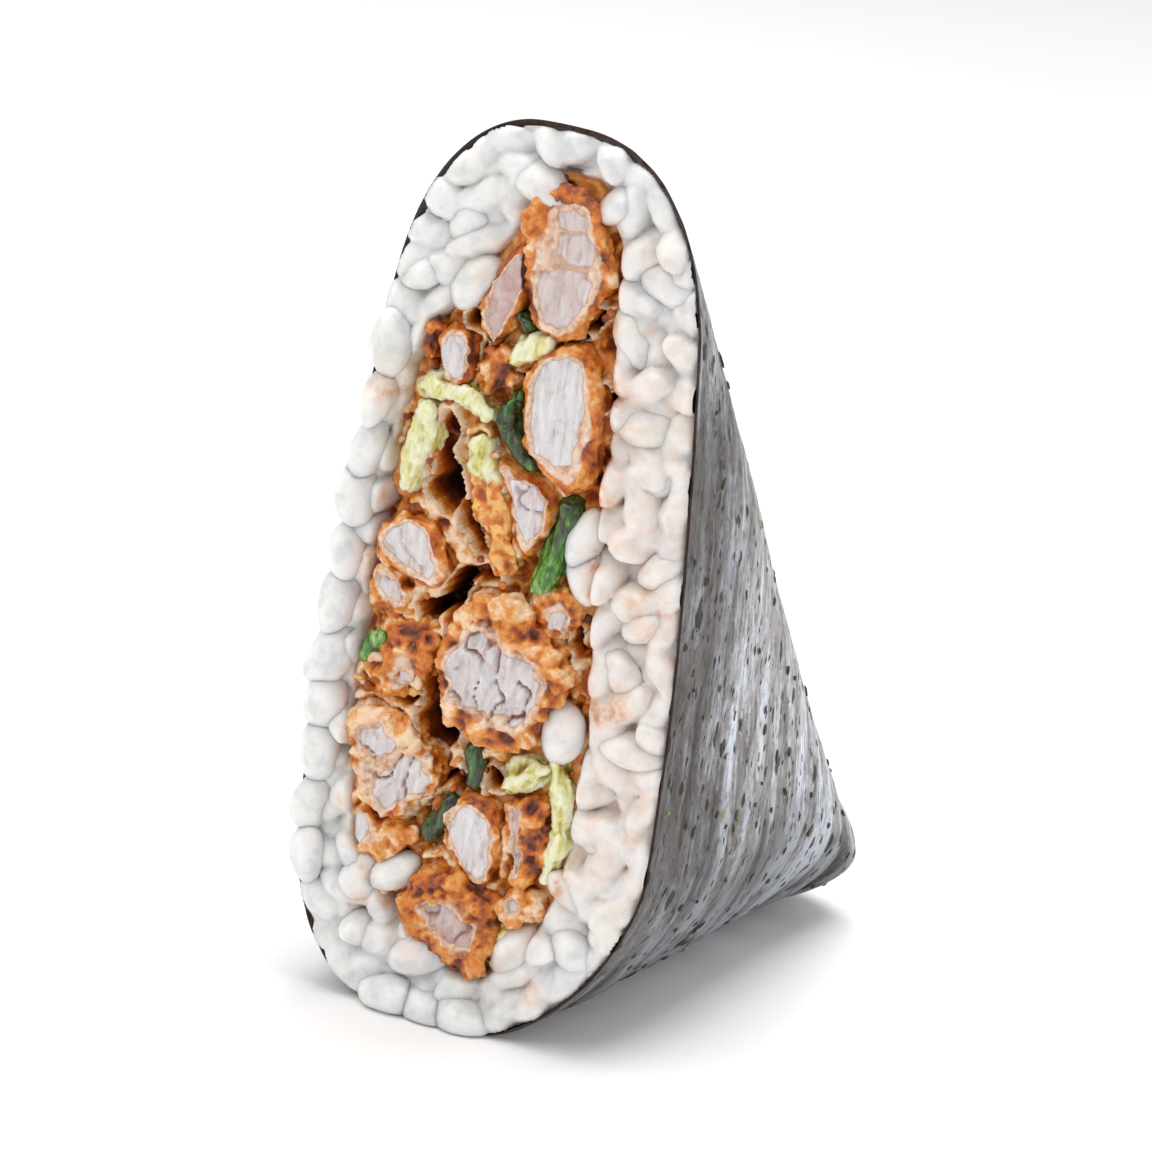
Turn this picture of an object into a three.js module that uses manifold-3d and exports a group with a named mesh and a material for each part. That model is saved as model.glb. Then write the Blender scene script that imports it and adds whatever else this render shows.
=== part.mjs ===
// Half of a triangular rice ball wrapped in dried seaweed, standing on its base with the knife-cut face
// towards -Y. Units are millimetres, +Z is up, and the origin is the middle of its box's underside.
// The seaweed is a thin shell open at the cut face. Inside it lies the rice, with loose grains bulging
// from the cut, and a pocket in the rice holds the filling: fried chicken, cabbage and spring onion.
import * as THREE from "three";
import { mergeVertices } from "three/addons/utils/BufferGeometryUtils.js";
import Module from "manifold-3d";

const wasm = await Module();
wasm.setup();

// ---- Driving dimensions -------------------------------------------------------------------------

const HEIGHT = 75; // base to the rounded top of the cut face
const HALF_WIDTH = 15.3; // half the thickness where the cut face is widest
const LENGTH = 48.7; // cut face to the end of the rear corner
const CORNER_HEIGHT = 7; // height of the blunt rear corner
const CORNER_WIDTH_SHARE = 0.68; // thickness left at the rear corner, as a share of the cut face's
const NARROWING_POWER = 1.6; // above 1, the body narrows mostly near the rear corner
const CORNER_ROUND = 5; // length over which the rear corner rounds off
const SKEW = 0.2; // sideways drift of the body per millimetre of depth, as the cut is not square

const SHEET = 0.5; // thickness of the seaweed
const GAP = 0.3; // clearance between neighbouring pieces
const EASE = 0.05; // a little more clearance where a piece is cut to fit
const RICE_RECESS = 0.6; // how far the bare rice lies behind the cut plane

// The cut face's outline: flat underneath, rounded at the two lower corners, tapering to a rounded top.
const LOWER_LEFT = { flat: 6.5, rise: 15, power: 2.0 };
const LOWER_RIGHT = { flat: 3.0, rise: 17, power: 1.6 };
const TAPER = { from: 0.35, share: 0.26, power: 1.5 };
const TOP = { drop: 17, power: 2.6 };

// ---- Small helpers ------------------------------------------------------------------------------

// A repeatable random source: each call returns the next number from 0 to 1.
function randomSource(seed) {
  let state = seed;
  return () => {
    state = (state * 1664525 + 1013904223) >>> 0;
    return state / 4294967296;
  };
}

const between = (random, low, high) => low + (high - low) * random();
const clamp = (value, low, high) => Math.min(high, Math.max(low, value));
const degrees = THREE.MathUtils.degToRad;

// A closed geometry as a manifold solid, with the vertices that touch merged.
function solidOf(geometry) {
  const bare = geometry.clone();
  bare.deleteAttribute("normal");
  bare.deleteAttribute("uv");
  const merged = mergeVertices(bare, 1e-3);
  return new wasm.Manifold(
    new wasm.Mesh({
      numProp: 3,
      vertProperties: new Float32Array(merged.attributes.position.array),
      triVerts: new Uint32Array(merged.index.array),
    }),
  );
}

// A manifold solid as a geometry for a mesh.
function geometryOf(solid) {
  const mesh = solid.getMesh();
  const positions = new Float32Array(mesh.numVert * 3);
  for (let i = 0; i < mesh.numVert; i++) {
    positions.set(mesh.vertProperties.subarray(i * mesh.numProp, i * mesh.numProp + 3), i * 3);
  }
  return new THREE.BufferGeometry()
    .setAttribute("position", new THREE.BufferAttribute(positions, 3))
    .setIndex(new THREE.BufferAttribute(new Uint32Array(mesh.triVerts), 1));
}

// A geometry's largest outer shell alone: loose scraps are dropped and sealed hollows filled.
function largestOf(geometry) {
  const shells = solidOf(geometry).decompose();
  if (shells.length === 1) return geometry;
  const largest = shells.reduce((best, shell) => (shell.volume() > best.volume() ? shell : best));
  return largestOf(geometryOf(largest));
}

// A closed solid through a list of rings of equally many points, with a flat fan over the first and the last.
function loft(rings) {
  const count = rings[0].length;
  const positions = rings.flat().flatMap((p) => [p.x, p.y, p.z]);
  const faces = [];
  for (let r = 0; r + 1 < rings.length; r++) {
    for (let i = 0; i < count; i++) {
      const a = r * count + i;
      const b = r * count + ((i + 1) % count);
      faces.push(a, a + count, b, b, a + count, b + count);
    }
  }
  for (const [ring, outwards] of [[0, true], [rings.length - 1, false]]) {
    const centre = positions.length / 3;
    const middle = rings[ring].reduce((sum, p) => sum.add(p), new THREE.Vector3()).divideScalar(count);
    positions.push(middle.x, middle.y, middle.z);
    for (let i = 0; i < count; i++) {
      const a = ring * count + i;
      const b = ring * count + ((i + 1) % count);
      faces.push(...(outwards ? [a, b, centre] : [b, a, centre]));
    }
  }
  return new THREE.BufferGeometry()
    .setAttribute("position", new THREE.BufferAttribute(new Float32Array(positions), 3))
    .setIndex(faces);
}

// ---- The body's form ----------------------------------------------------------------------------

const sectionHeight = (y) => HEIGHT - ((HEIGHT - CORNER_HEIGHT) * y) / LENGTH;
const widthShare = (y) => 1 - (1 - CORNER_WIDTH_SHARE) * Math.pow(clamp(y / LENGTH, 0, 1), NARROWING_POWER);
const superRound = (u, power) => Math.pow(Math.max(1 - Math.pow(u, power), 0), 1 / power);

// Half the thickness at a height z on the side whose lower corner is given. The section has height h, and g
// is its width's share of the cut face's.
function halfWidth(z, h, g, lower) {
  const fit = Math.min(1, (0.98 * h) / ((lower.rise + TOP.drop) * g));
  const rise = lower.rise * g * fit;
  const drop = TOP.drop * g * fit;
  const fromBelow = superRound(clamp(1 - z / rise, 0, 1), lower.power);
  const fromAbove = superRound(clamp((z - (h - drop)) / drop, 0, 1), TOP.power);
  const up = clamp((z / h - TAPER.from) / (1 - TAPER.from), 0, 1);
  const flat = lower.flat * Math.min(1, h / HEIGHT + 0.35);
  const full = HALF_WIDTH * (1 - TAPER.share * Math.pow(up, TAPER.power));
  return g * (flat + (full - flat) * fromBelow) * fromAbove;
}

// The outline of the section at depth y, anticlockwise seen from the cut face, from the base's right end.
function section(y, steps) {
  const h = sectionHeight(y);
  const g = widthShare(y);
  const end = clamp((y - (LENGTH - CORNER_ROUND)) / CORNER_ROUND, 0, 1);
  const shrink = Math.sqrt(Math.max(1 - end * end, 0.004));
  const ring = [];
  const place = (x, z) => {
    const lifted = h / 2 + (z - h / 2) * (0.4 + 0.6 * shrink);
    ring.push(new THREE.Vector3(x * shrink + SKEW * y, y, Math.max(lifted, 0)));
  };
  for (let i = 0; i <= steps; i++) {
    const z = (h * (1 - Math.cos((Math.PI * i) / steps))) / 2;
    place(halfWidth(z, h, g, LOWER_RIGHT), z);
  }
  for (let i = steps - 1; i >= 0; i--) {
    const z = (h * (1 - Math.cos((Math.PI * i) / steps))) / 2;
    place(-halfWidth(z, h, g, LOWER_LEFT), z);
  }
  return ring;
}

const SECTION_STEPS = 16;
const DEPTHS = [0, 5, 10.5, 16, 21.5, 27, 32.5, 38, 42, 44.8, 46.8, 48.1, LENGTH];

// The body's surface as rings, moved inwards by a distance. The first ring stays in the cut plane, and an
// inner surface ends one ring short of the corner's tip, where it would fold over itself.
function bodyRings(inset) {
  const rings = DEPTHS.map((y) => section(y, SECTION_STEPS));
  if (inset === 0) return rings;
  const count = rings[0].length;
  return rings.slice(0, -1).map((ring, r) =>
    ring.map((p, i) => {
      const along = rings[r + 1][i].clone().sub(rings[Math.max(r - 1, 0)][i]);
      const around = ring[(i + 1) % count].clone().sub(ring[(i + count - 1) % count]);
      const inwards = around.cross(along).normalize();
      if (r === 0) inwards.setY(0).normalize();
      return p.clone().addScaledVector(inwards, inset);
    }),
  );
}

// A point of the cut face carried back to depth y, as the section shrinks and drifts with depth.
function carried(x, z, y) {
  return new THREE.Vector3(x * widthShare(y) + SKEW * y, y, (z * sectionHeight(y)) / HEIGHT);
}

// ---- The pocket that the filling lies in --------------------------------------------------------

// Height above the base, then the pocket's left and right edges on the cut face.
const POCKET = [
  [4.4, -0.5, 2.2],
  [8.6, -6.6, 6.0],
  [14, -10.3, 7.9],
  [22, -11.6, 8.2],
  [30, -11.9, 8.0],
  [38, -11.6, 7.2],
  [48, -11.0, 6.6],
  [54, -10.2, 6.4],
  [57.5, -9.4, 6.1],
  [60, -6.6, 6.0],
  [66, -3.4, 5.4],
  [71, -0.6, 2.6],
];

// The pocket's outline moved inwards by a distance, anticlockwise seen from the cut face, at depth y.
function pocketRing(inset, y) {
  const right = POCKET.map(([z, , x]) => [x - inset, z]);
  const left = POCKET.map(([z, x]) => [x + inset, z]).reverse();
  const low = POCKET[0][0];
  const high = POCKET[POCKET.length - 1][0];
  return [...right, ...left].map(([x, z]) => carried(x, clamp(z, low + inset, high - inset), y));
}

const POCKET_DEPTH = 32;

function pocketSolid(inset, from, to) {
  const mid = [from, from + (to - from) / 3, from + (2 * (to - from)) / 3, to];
  return solidOf(loft(mid.map((y) => pocketRing(inset, y))));
}

// Whether a point of the cut face lies at least a margin inside the outline and outside the pocket.
function insideOutline(x, z, margin) {
  if (z < margin || z > HEIGHT - margin) return false;
  const side = x < 0 ? LOWER_LEFT : LOWER_RIGHT;
  const nearest = Math.min(
    halfWidth(clamp(z - margin, 0, HEIGHT), HEIGHT, 1, side),
    halfWidth(z, HEIGHT, 1, side),
    halfWidth(clamp(z + margin, 0, HEIGHT), HEIGHT, 1, side),
  );
  return Math.abs(x) < nearest - margin;
}

function outsidePocket(x, z, margin) {
  if (z < POCKET[0][0] - margin || z > POCKET[POCKET.length - 1][0] + margin) return true;
  const above = POCKET.findIndex(([height]) => height > z);
  const high = above < 0 ? POCKET.length - 1 : Math.max(above, 1);
  const [z0, l0, r0] = POCKET[high - 1];
  const [z1, l1, r1] = POCKET[high];
  const t = clamp((z - z0) / (z1 - z0), 0, 1);
  return x < l0 + (l1 - l0) * t - margin || x > r0 + (r1 - r0) * t + margin;
}

// ---- Seaweed ------------------------------------------------------------------------------------

const FLAKES = { count: 28, seed: 11, length: [0.9, 1.7], width: 0.35, height: 0.3, clear: 2.5 };

// The wrap: outer and inner surfaces joined by a rim at the cut face, with small dried flakes stuck on.
function seaweed() {
  const outer = bodyRings(0);
  const inner = bodyRings(SHEET);
  const skin = solidOf(loft(outer));
  const frontOpen = inner[0].map((p) => p.clone().setY(-1));
  let shell = skin.subtract(solidOf(loft([frontOpen, ...inner])));
  const random = randomSource(FLAKES.seed);
  const count = outer[0].length;
  for (let made = 0; made < FLAKES.count; ) {
    const r = 1 + Math.floor(random() * (outer.length - 5));
    const i = Math.floor(random() * count);
    const spot = outer[r][i];
    const angle = between(random, 0, Math.PI);
    const size = between(random, ...FLAKES.length);
    if (spot.z < FLAKES.clear) continue;
    const along = outer[r + 1][i].clone().sub(outer[r - 1][i]).normalize();
    const around = outer[r][(i + 1) % count].clone().sub(outer[r][(i + count - 1) % count]);
    const out = along.clone().cross(around).normalize();
    const flake = new THREE.OctahedronGeometry(1, 0).scale(size, FLAKES.width, FLAKES.height);
    flake.rotateZ(angle);
    flake.applyMatrix4(new THREE.Matrix4().makeBasis(along, out.clone().cross(along), out));
    flake.translate(spot.x, spot.y, spot.z);
    shell = shell.add(solidOf(flake));
    made += 1;
  }
  return shell;
}

// ---- Rice ---------------------------------------------------------------------------------------

const GRAIN = { across: 1.5, flat: 1.4, along: 2.5, spacing: 2.75, seed: 6, tries: 6000 };
const GRAIN_CLEAR = { outline: 1.3, pocket: 0.6 }; // least distance of a grain's middle from each
const RIM_BAND = 3; // width of the band along the outline where the grains point outwards

// One grain: an egg-like shape with few sides, laid at a place with its length in a given direction.
function grain(place, direction, size) {
  const egg = new THREE.OctahedronGeometry(size, 1).scale(GRAIN.across, GRAIN.flat, GRAIN.along);
  const turn = new THREE.Quaternion().setFromUnitVectors(new THREE.Vector3(0, 0, 1), direction.normalize());
  return egg.applyQuaternion(turn).translate(place.x, place.y, place.z);
}

// Places for the grains that show at the cut: spread evenly over the rice between outline and pocket.
function grainPlaces(random) {
  const places = [];
  for (let i = 0; i < GRAIN.tries; i++) {
    const x = between(random, -HALF_WIDTH, HALF_WIDTH);
    const z = between(random, 0, HEIGHT);
    if (!insideOutline(x, z, GRAIN_CLEAR.outline)) continue;
    if (!outsidePocket(x, z, GRAIN_CLEAR.pocket)) continue;
    if (places.some((p) => Math.hypot(p.x - x, p.z - z) < GRAIN.spacing)) continue;
    places.push({ x, z });
  }
  return places;
}

const CORE_SHRINK = 0.1; // extra clearance of the rice's core from the wrap
const OVERHANG = 4; // space kept in front of the cut plane, more than any grain bulges

// A box given by its smallest and largest corners.
function boxBetween([x0, y0, z0], [x1, y1, z1]) {
  return solidOf(
    new THREE.BoxGeometry(x1 - x0, y1 - y0, z1 - z0).translate((x0 + x1) / 2, (y0 + y1) / 2, (z0 + z1) / 2),
  );
}

// The rice behind the cut, with grains fused to its front and the filling's pocket left open.
function rice() {
  const core = bodyRings(SHEET + GAP + CORE_SHRINK);
  core[0].forEach((p) => p.setY(RICE_RECESS));
  const random = randomSource(GRAIN.seed);
  let heap = solidOf(loft(core));
  for (const { x, z } of grainPlaces(random)) {
    const nearEdge = !insideOutline(x, z, RIM_BAND);
    const direction = new THREE.Vector3(
      between(random, -1, 1),
      nearEdge ? between(random, 0.5, 1.4) : between(random, -0.5, 0.5),
      between(random, -1, 1),
    );
    const place = { x, y: between(random, 0.2, 0.9), z };
    heap = heap.add(solidOf(grain(place, direction, between(random, 0.92, 1.08))));
  }
  // Behind the cut plane the grains stay inside the wrap; in front of it they may overhang its edge.
  const inner = bodyRings(SHEET + GAP);
  const wide = 2 * HALF_WIDTH;
  const throat = inner[0].map((p) => p.clone().setY(-OVERHANG));
  const wrapSpace = solidOf(loft([throat, ...inner]));
  const behindCut = boxBetween([-wide, -GAP, -GAP], [wide, LENGTH + GAP, HEIGHT + GAP]);
  const aboveFloor = boxBetween([-wide, -OVERHANG, SHEET], [wide, LENGTH, HEIGHT]);
  return heap
    .subtract(behindCut.subtract(wrapSpace))
    .intersect(aboveFloor)
    .subtract(pocketSolid(0, -OVERHANG, POCKET_DEPTH));
}

// ---- Filling ------------------------------------------------------------------------------------

const FILLING_FRONT = 3.9; // depth of the packed filling's front behind the cut plane
const FILLING_LUMPS = { size: 0.45, across: 1.3, up: 0.9 };

// The packed filling that runs back through the rice, behind the pieces that show at the cut.
function filling() {
  const depths = [FILLING_FRONT, 12, 21, POCKET_DEPTH - GAP - 4 * EASE];
  const rings = depths.map((y, r) =>
    pocketRing(GAP + 2 * EASE, y).map((p, i) => {
      const wave = Math.sin(i * FILLING_LUMPS.across + r * 2) * Math.cos(i * FILLING_LUMPS.up);
      return r === 0 ? p.setY(y + FILLING_LUMPS.size * wave) : p;
    }),
  );
  return solidOf(loft(rings));
}

// Pieces of fried chicken at the cut: how far the cut surface stands in front of the cut plane, and the
// outline on the cut face as pairs of x and z, anticlockwise from the lowest point.
const CHICKEN = [
  {
    proud: 0.5,
    outline: [
      [1.5, 58.1], [2.9, 58.8], [3.7, 60.4], [4.4, 62.0], [5.2, 63.8], [4.5, 65.4], [4.2, 67.0],
      [4.0, 68.6], [2.9, 70.0], [0.6, 70.8], [-1.4, 69.7], [-3.0, 68.6], [-2.9, 67.0], [-2.1, 65.7],
      [-2.0, 63.9], [-1.8, 62.2], [-1.3, 60.4], [-0.4, 58.9],
    ],
  },
  {
    proud: 0.1,
    outline: [
      [-3.9, 56.6], [-3.0, 57.3], [-2.6, 58.8], [-1.8, 60.6], [-1.6, 62.4], [-1.7, 64.0], [-1.9, 65.2],
      [-2.9, 64.8], [-3.7, 63.6], [-4.6, 61.9], [-5.0, 60.2], [-5.2, 58.4],
    ],
  },
  {
    proud: 0.6,
    outline: [
      [2.6, 47.2], [4.2, 46.4], [5.3, 47.2], [5.9, 49.0], [5.7, 51.0], [6.3, 52.6], [5.8, 54.2],
      [5.1, 55.6], [4.6, 57.1], [3.8, 58.1], [2.4, 58.2], [1.1, 57.5], [0.0, 56.1], [-0.6, 54.4],
      [-0.4, 52.0], [-0.1, 49.8], [1.1, 48.2],
    ],
  },
  {
    proud: 0.3,
    outline: [
      [-6.2, 52.8], [-5.3, 54.0], [-5.4, 56.0], [-6.3, 57.3], [-7.5, 57.2], [-8.3, 55.6], [-7.9, 54.0],
      [-7.0, 53.0],
    ],
  },
  {
    proud: -0.3,
    outline: [
      [-4.4, 52.8], [-3.2, 52.6], [-2.0, 53.4], [-2.0, 55.0], [-2.4, 56.6], [-3.4, 57.2], [-4.6, 56.9],
      [-5.0, 55.2], [-4.9, 53.8],
    ],
  },
  {
    proud: 0.2,
    outline: [
      [1.5, 40.6], [2.2, 42.3], [2.8, 44.1], [2.6, 45.6], [1.5, 46.5], [-0.3, 47.1], [-2.1, 47.9],
      [-1.6, 46.4], [-0.8, 45.0], [-0.4, 43.7], [0.2, 42.1], [0.7, 41.0],
    ],
  },
  {
    proud: 0.5,
    outline: [
      [-6.0, 36.1], [-5.1, 37.0], [-5.5, 38.8], [-6.3, 40.6], [-7.5, 41.6], [-9.6, 41.3], [-10.8, 40.2],
      [-11.2, 38.9], [-10.6, 37.5], [-8.9, 36.8], [-7.4, 36.2],
    ],
  },
  {
    proud: 0.1,
    outline: [
      [-10.4, 33.0], [-9.0, 32.7], [-8.1, 33.6], [-7.9, 35.0], [-8.6, 36.0], [-9.8, 36.7], [-10.9, 36.4],
      [-11.4, 35.2], [-11.2, 34.0],
    ],
  },
  {
    proud: 0.8,
    outline: [
      [0.8, 24.7], [2.9, 25.0], [4.3, 26.0], [4.6, 27.4], [5.3, 28.7], [6.0, 30.0], [6.4, 31.4],
      [5.8, 32.9], [4.5, 34.2], [2.9, 35.2], [1.5, 36.4], [0.1, 36.9], [-1.6, 36.2], [-3.0, 34.9],
      [-4.0, 33.2], [-4.5, 31.4], [-4.5, 29.5], [-3.9, 27.6], [-2.9, 26.2], [-1.2, 25.2],
    ],
  },
  {
    proud: 0.1,
    outline: [
      [3.4, 35.3], [4.9, 34.9], [6.0, 35.8], [6.1, 37.2], [4.9, 38.6], [3.7, 37.8], [2.6, 37.2], [2.5, 36.2],
    ],
  },
  {
    proud: 0.5,
    outline: [
      [-6.4, 16.5], [-5.6, 18.0], [-4.4, 19.3], [-3.2, 20.4], [-4.0, 21.8], [-5.4, 22.9], [-6.7, 24.4],
      [-8.8, 25.1], [-10.7, 24.5], [-11.3, 22.8], [-11.1, 21.0], [-10.6, 19.3], [-9.8, 17.8],
      [-8.4, 16.9],
    ],
  },
  {
    proud: 0.5,
    outline: [
      [1.2, 12.9], [2.3, 13.6], [2.7, 15.0], [2.5, 17.0], [2.1, 18.4], [1.3, 19.7], [0.2, 20.2], [-0.9, 19.8],
      [-1.6, 18.5], [-2.1, 17.1], [-1.8, 15.7], [-1.0, 14.5], [-0.1, 13.5],
    ],
  },
  {
    proud: 0.2,
    outline: [
      [4.9, 13.4], [5.9, 14.2], [6.4, 15.8], [6.4, 17.6], [6.1, 19.5], [5.3, 20.9], [4.0, 20.7], [3.0, 19.9],
      [3.0, 18.2], [3.2, 16.6], [3.7, 15.0], [4.1, 13.9],
    ],
  },
  {
    proud: 0.1,
    outline: [
      [-9.2, 12.0], [-7.5, 12.2], [-6.2, 13.4], [-5.0, 14.5], [-4.6, 15.6], [-6.1, 15.9], [-7.7, 15.9],
      [-9.0, 16.5], [-10.0, 16.2], [-10.5, 14.8], [-10.1, 13.2],
    ],
  },
  {
    proud: 0.6,
    outline: [
      [0.6, 4.5], [1.9, 4.8], [2.7, 6.1], [3.0, 8.0], [3.0, 10.2], [2.7, 11.7], [1.4, 12.6],
      [-0.8, 13.0], [-2.7, 12.6], [-4.2, 11.3], [-4.5, 9.7], [-5.3, 8.4], [-4.4, 7.6], [-3.0, 6.6],
      [-1.0, 5.3],
    ],
  },
  {
    proud: 0.3,
    outline: [
      [4.4, 10.1], [5.4, 10.4], [6.1, 11.4], [6.2, 12.6], [5.3, 13.3], [4.2, 13.3], [3.4, 12.4], [3.3, 11.1],
    ],
  },
  {
    proud: 0.0,
    outline: [
      [-9.2, 54.2], [-8.6, 55.4], [-8.3, 57.3], [-7.7, 58.6], [-8.4, 58.8], [-9.3, 57.8], [-9.9, 56.4],
      [-10.0, 54.9],
    ],
  },
  {
    proud: 0.0,
    outline: [
      [-9.6, 26.6], [-7.7, 26.9], [-6.4, 28.2], [-5.3, 29.8], [-5.2, 31.6], [-6.4, 32.7], [-8.2, 32.6],
      [-9.5, 31.8], [-9.6, 30.4], [-9.9, 29.0], [-11.0, 28.0],
    ],
  },
];

const PRESSED = 0.1; // how much larger every piece is than its outline, so that the pieces crowd together

// A piece's sides from front to back: depth behind its cut surface, and how far in from the outline it lies.
const CHUNK = {
  around: 18,
  sides: [[0, 0.5], [0.6, 0.05], [2.2, 0], [3.8, 0.7]],
  uneven: 0.14,
};

// One lumpy piece, flat where the knife passed through it. It may be made larger all round by a margin.
function chunk({ proud, outline }, margin = 0) {
  const curve = new THREE.CatmullRomCurve3(outline.map(([x, z]) => new THREE.Vector3(x, 0, z)), true);
  const spots = curve.getSpacedPoints(CHUNK.around).slice(0, -1);
  const rings = CHUNK.sides.map(([behind, inset], r) =>
    spots.map((spot, i) => {
      const before = spots[(i + CHUNK.around - 1) % CHUNK.around];
      const after = spots[(i + 1) % CHUNK.around];
      const outwards = new THREE.Vector3(after.z - before.z, 0, before.x - after.x).normalize();
      const depth = behind - proud + (r === 0 ? -margin : CHUNK.uneven * Math.sin(3 * i + 2 * r));
      return spot.clone().addScaledVector(outwards, margin - inset).setY(depth);
    }),
  );
  return solidOf(loft(rings));
}

// Shreds of cabbage and rings of spring onion: a bent strip, given by its ends and middle on the cut face,
// its thickness there, and its depth behind the cut plane.
const CABBAGE = [
  { ends: [[-2.0, 56.1], [-0.7, 57.1], [0.9, 57.8]], thick: 2.0, depth: 3.0 },
  { ends: [[-9.4, 51.8], [-6.4, 52.6], [-3.4, 50.9]], thick: 1.8, depth: 3.2 },
  { ends: [[-8.6, 50.4], [-8.8, 47.6], [-9.6, 43.6]], thick: 2.4, depth: 3.0 },
  { ends: [[-3.6, 48.6], [-2.6, 44.6], [-0.2, 39.2]], thick: 2.8, depth: 3.0 },
  { ends: [[2.4, 21.6], [4.0, 22.9], [5.8, 23.5]], thick: 2.2, depth: 3.0 },
  { ends: [[6.4, 25.0], [7.2, 20.0], [6.9, 14.6]], thick: 1.2, depth: 3.2 },
  { ends: [[4.2, 9.6], [3.9, 7.8], [3.5, 5.8]], thick: 1.4, depth: 2.8 },
];
const SPRING_ONION = [
  { ends: [[-1.0, 53.2], [-1.9, 50.6], [0.6, 47.9]], thick: 1.1, depth: 2.8 },
  { ends: [[4.2, 45.4], [3.7, 41.6], [2.7, 38.0]], thick: 1.7, depth: 3.0 },
  { ends: [[-10.1, 31.2], [-10.8, 30.2], [-11.4, 28.8]], thick: 1.2, depth: 2.4 },
  { ends: [[-1.9, 18.9], [-2.8, 17.4], [-3.5, 15.8]], thick: 0.9, depth: 2.4 },
  { ends: [[-2.3, 60.0], [-1.7, 59.3], [-1.1, 58.6]], thick: 0.8, depth: 2.4 },
  { ends: [[-0.9, 23.9], [-0.5, 22.4], [-0.6, 20.9]], thick: 0.8, depth: 2.4 },
];

const STRIP = { steps: 6, sides: 6, proud: 0.25, wave: 0.12 };

function strip({ ends, thick, depth }, margin = 0) {
  const [start, middle, end] = ends.map(([x, z]) => new THREE.Vector3(x, 0, z));
  const control = middle.clone().multiplyScalar(2).addScaledVector(start, -0.5).addScaledVector(end, -0.5);
  const path = new THREE.QuadraticBezierCurve3(start, control, end);
  const halfDepth = (depth + STRIP.proud) / 2;
  const rings = [];
  for (let s = 0; s <= STRIP.steps; s++) {
    const t = s / STRIP.steps;
    const centre = path.getPoint(t);
    const along = path.getTangent(t);
    const side = new THREE.Vector3(-along.z, 0, along.x);
    const rounding = Math.pow(Math.sin(Math.PI * clamp(t, 0.06, 0.94)), 0.35);
    const wave = 1 + STRIP.wave * Math.sin(9 * t + rounding * 5);
    const width = (thick / 2) * rounding * wave + margin;
    const ring = [];
    for (let i = 0; i < STRIP.sides; i++) {
      const a = (2 * Math.PI * i) / STRIP.sides;
      const point = centre.clone().addScaledVector(side, width * Math.cos(a));
      point.y = halfDepth - STRIP.proud + (halfDepth + margin) * Math.sin(a);
      ring.push(point);
    }
    rings.push(ring);
  }
  rings[0].forEach((p) => p.addScaledVector(path.getTangent(0), -margin));
  rings[STRIP.steps].forEach((p) => p.addScaledVector(path.getTangent(1), margin));
  return solidOf(loft(rings));
}

// Each piece keeps clear of the pocket's wall, of the packed filling and of the pieces laid before it.
function laidPieces() {
  const back = FILLING_FRONT - FILLING_LUMPS.size - GAP - 3 * EASE;
  const room = pocketSolid(GAP + EASE, -OVERHANG, back);
  const laid = [];
  const lay = (name, slot, make) => {
    let solid = make(PRESSED).intersect(room);
    for (const other of laid) solid = solid.subtract(other.clear);
    laid.push({ name, slot, solid, clear: make(PRESSED + GAP + EASE) });
  };
  CHICKEN.forEach((one, i) => lay(`chicken_${i + 1}`, "chicken", (m) => chunk(one, m)));
  SPRING_ONION.forEach((one, i) => lay(`spring_onion_${i + 1}`, "spring_onion", (m) => strip(one, m)));
  CABBAGE.forEach((one, i) => lay(`cabbage_${i + 1}`, "cabbage", (m) => strip(one, m)));
  return laid;
}

// ---- The object ---------------------------------------------------------------------------------

const MATERIALS = {
  seaweed: new THREE.MeshStandardMaterial({ color: 0x2b2c26, roughness: 0.4, metalness: 0 }),
  rice: new THREE.MeshStandardMaterial({ color: 0xebe9e4, roughness: 0.45, metalness: 0 }),
  filling: new THREE.MeshStandardMaterial({ color: 0x7a3b17, roughness: 0.5, metalness: 0 }),
  chicken: new THREE.MeshStandardMaterial({ color: 0xd9a983, roughness: 0.5, metalness: 0 }),
  cabbage: new THREE.MeshStandardMaterial({ color: 0xd3d489, roughness: 0.4, metalness: 0 }),
  spring_onion: new THREE.MeshStandardMaterial({ color: 0x4c6a2c, roughness: 0.4, metalness: 0 }),
};

const pieces = [
  { name: "seaweed", slot: "seaweed", solid: seaweed() },
  { name: "rice", slot: "rice", solid: rice() },
  { name: "filling", slot: "filling", solid: filling() },
  ...laidPieces(),
].map((piece) => ({ ...piece, geometry: geometryOf(piece.solid) }));

const box = new THREE.Box3();
for (const { geometry } of pieces) {
  geometry.computeBoundingBox();
  box.union(geometry.boundingBox);
}
const middle = box.getCenter(new THREE.Vector3());

const riceBall = new THREE.Group();
for (const { name, slot, geometry } of pieces) {
  geometry.translate(-middle.x, -middle.y, -box.min.z);
  const mesh = new THREE.Mesh(largestOf(geometry), MATERIALS[slot]);
  mesh.name = name;
  riceBall.add(mesh);
}

export default riceBall;
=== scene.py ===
"""Half of a rice ball wrapped in dried seaweed, cut open to show fried chicken, cabbage and spring onion."""
import math

import bmesh
import bpy
import numpy as np
from mathutils import Matrix, Vector
from mathutils.kdtree import KDTree


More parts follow.
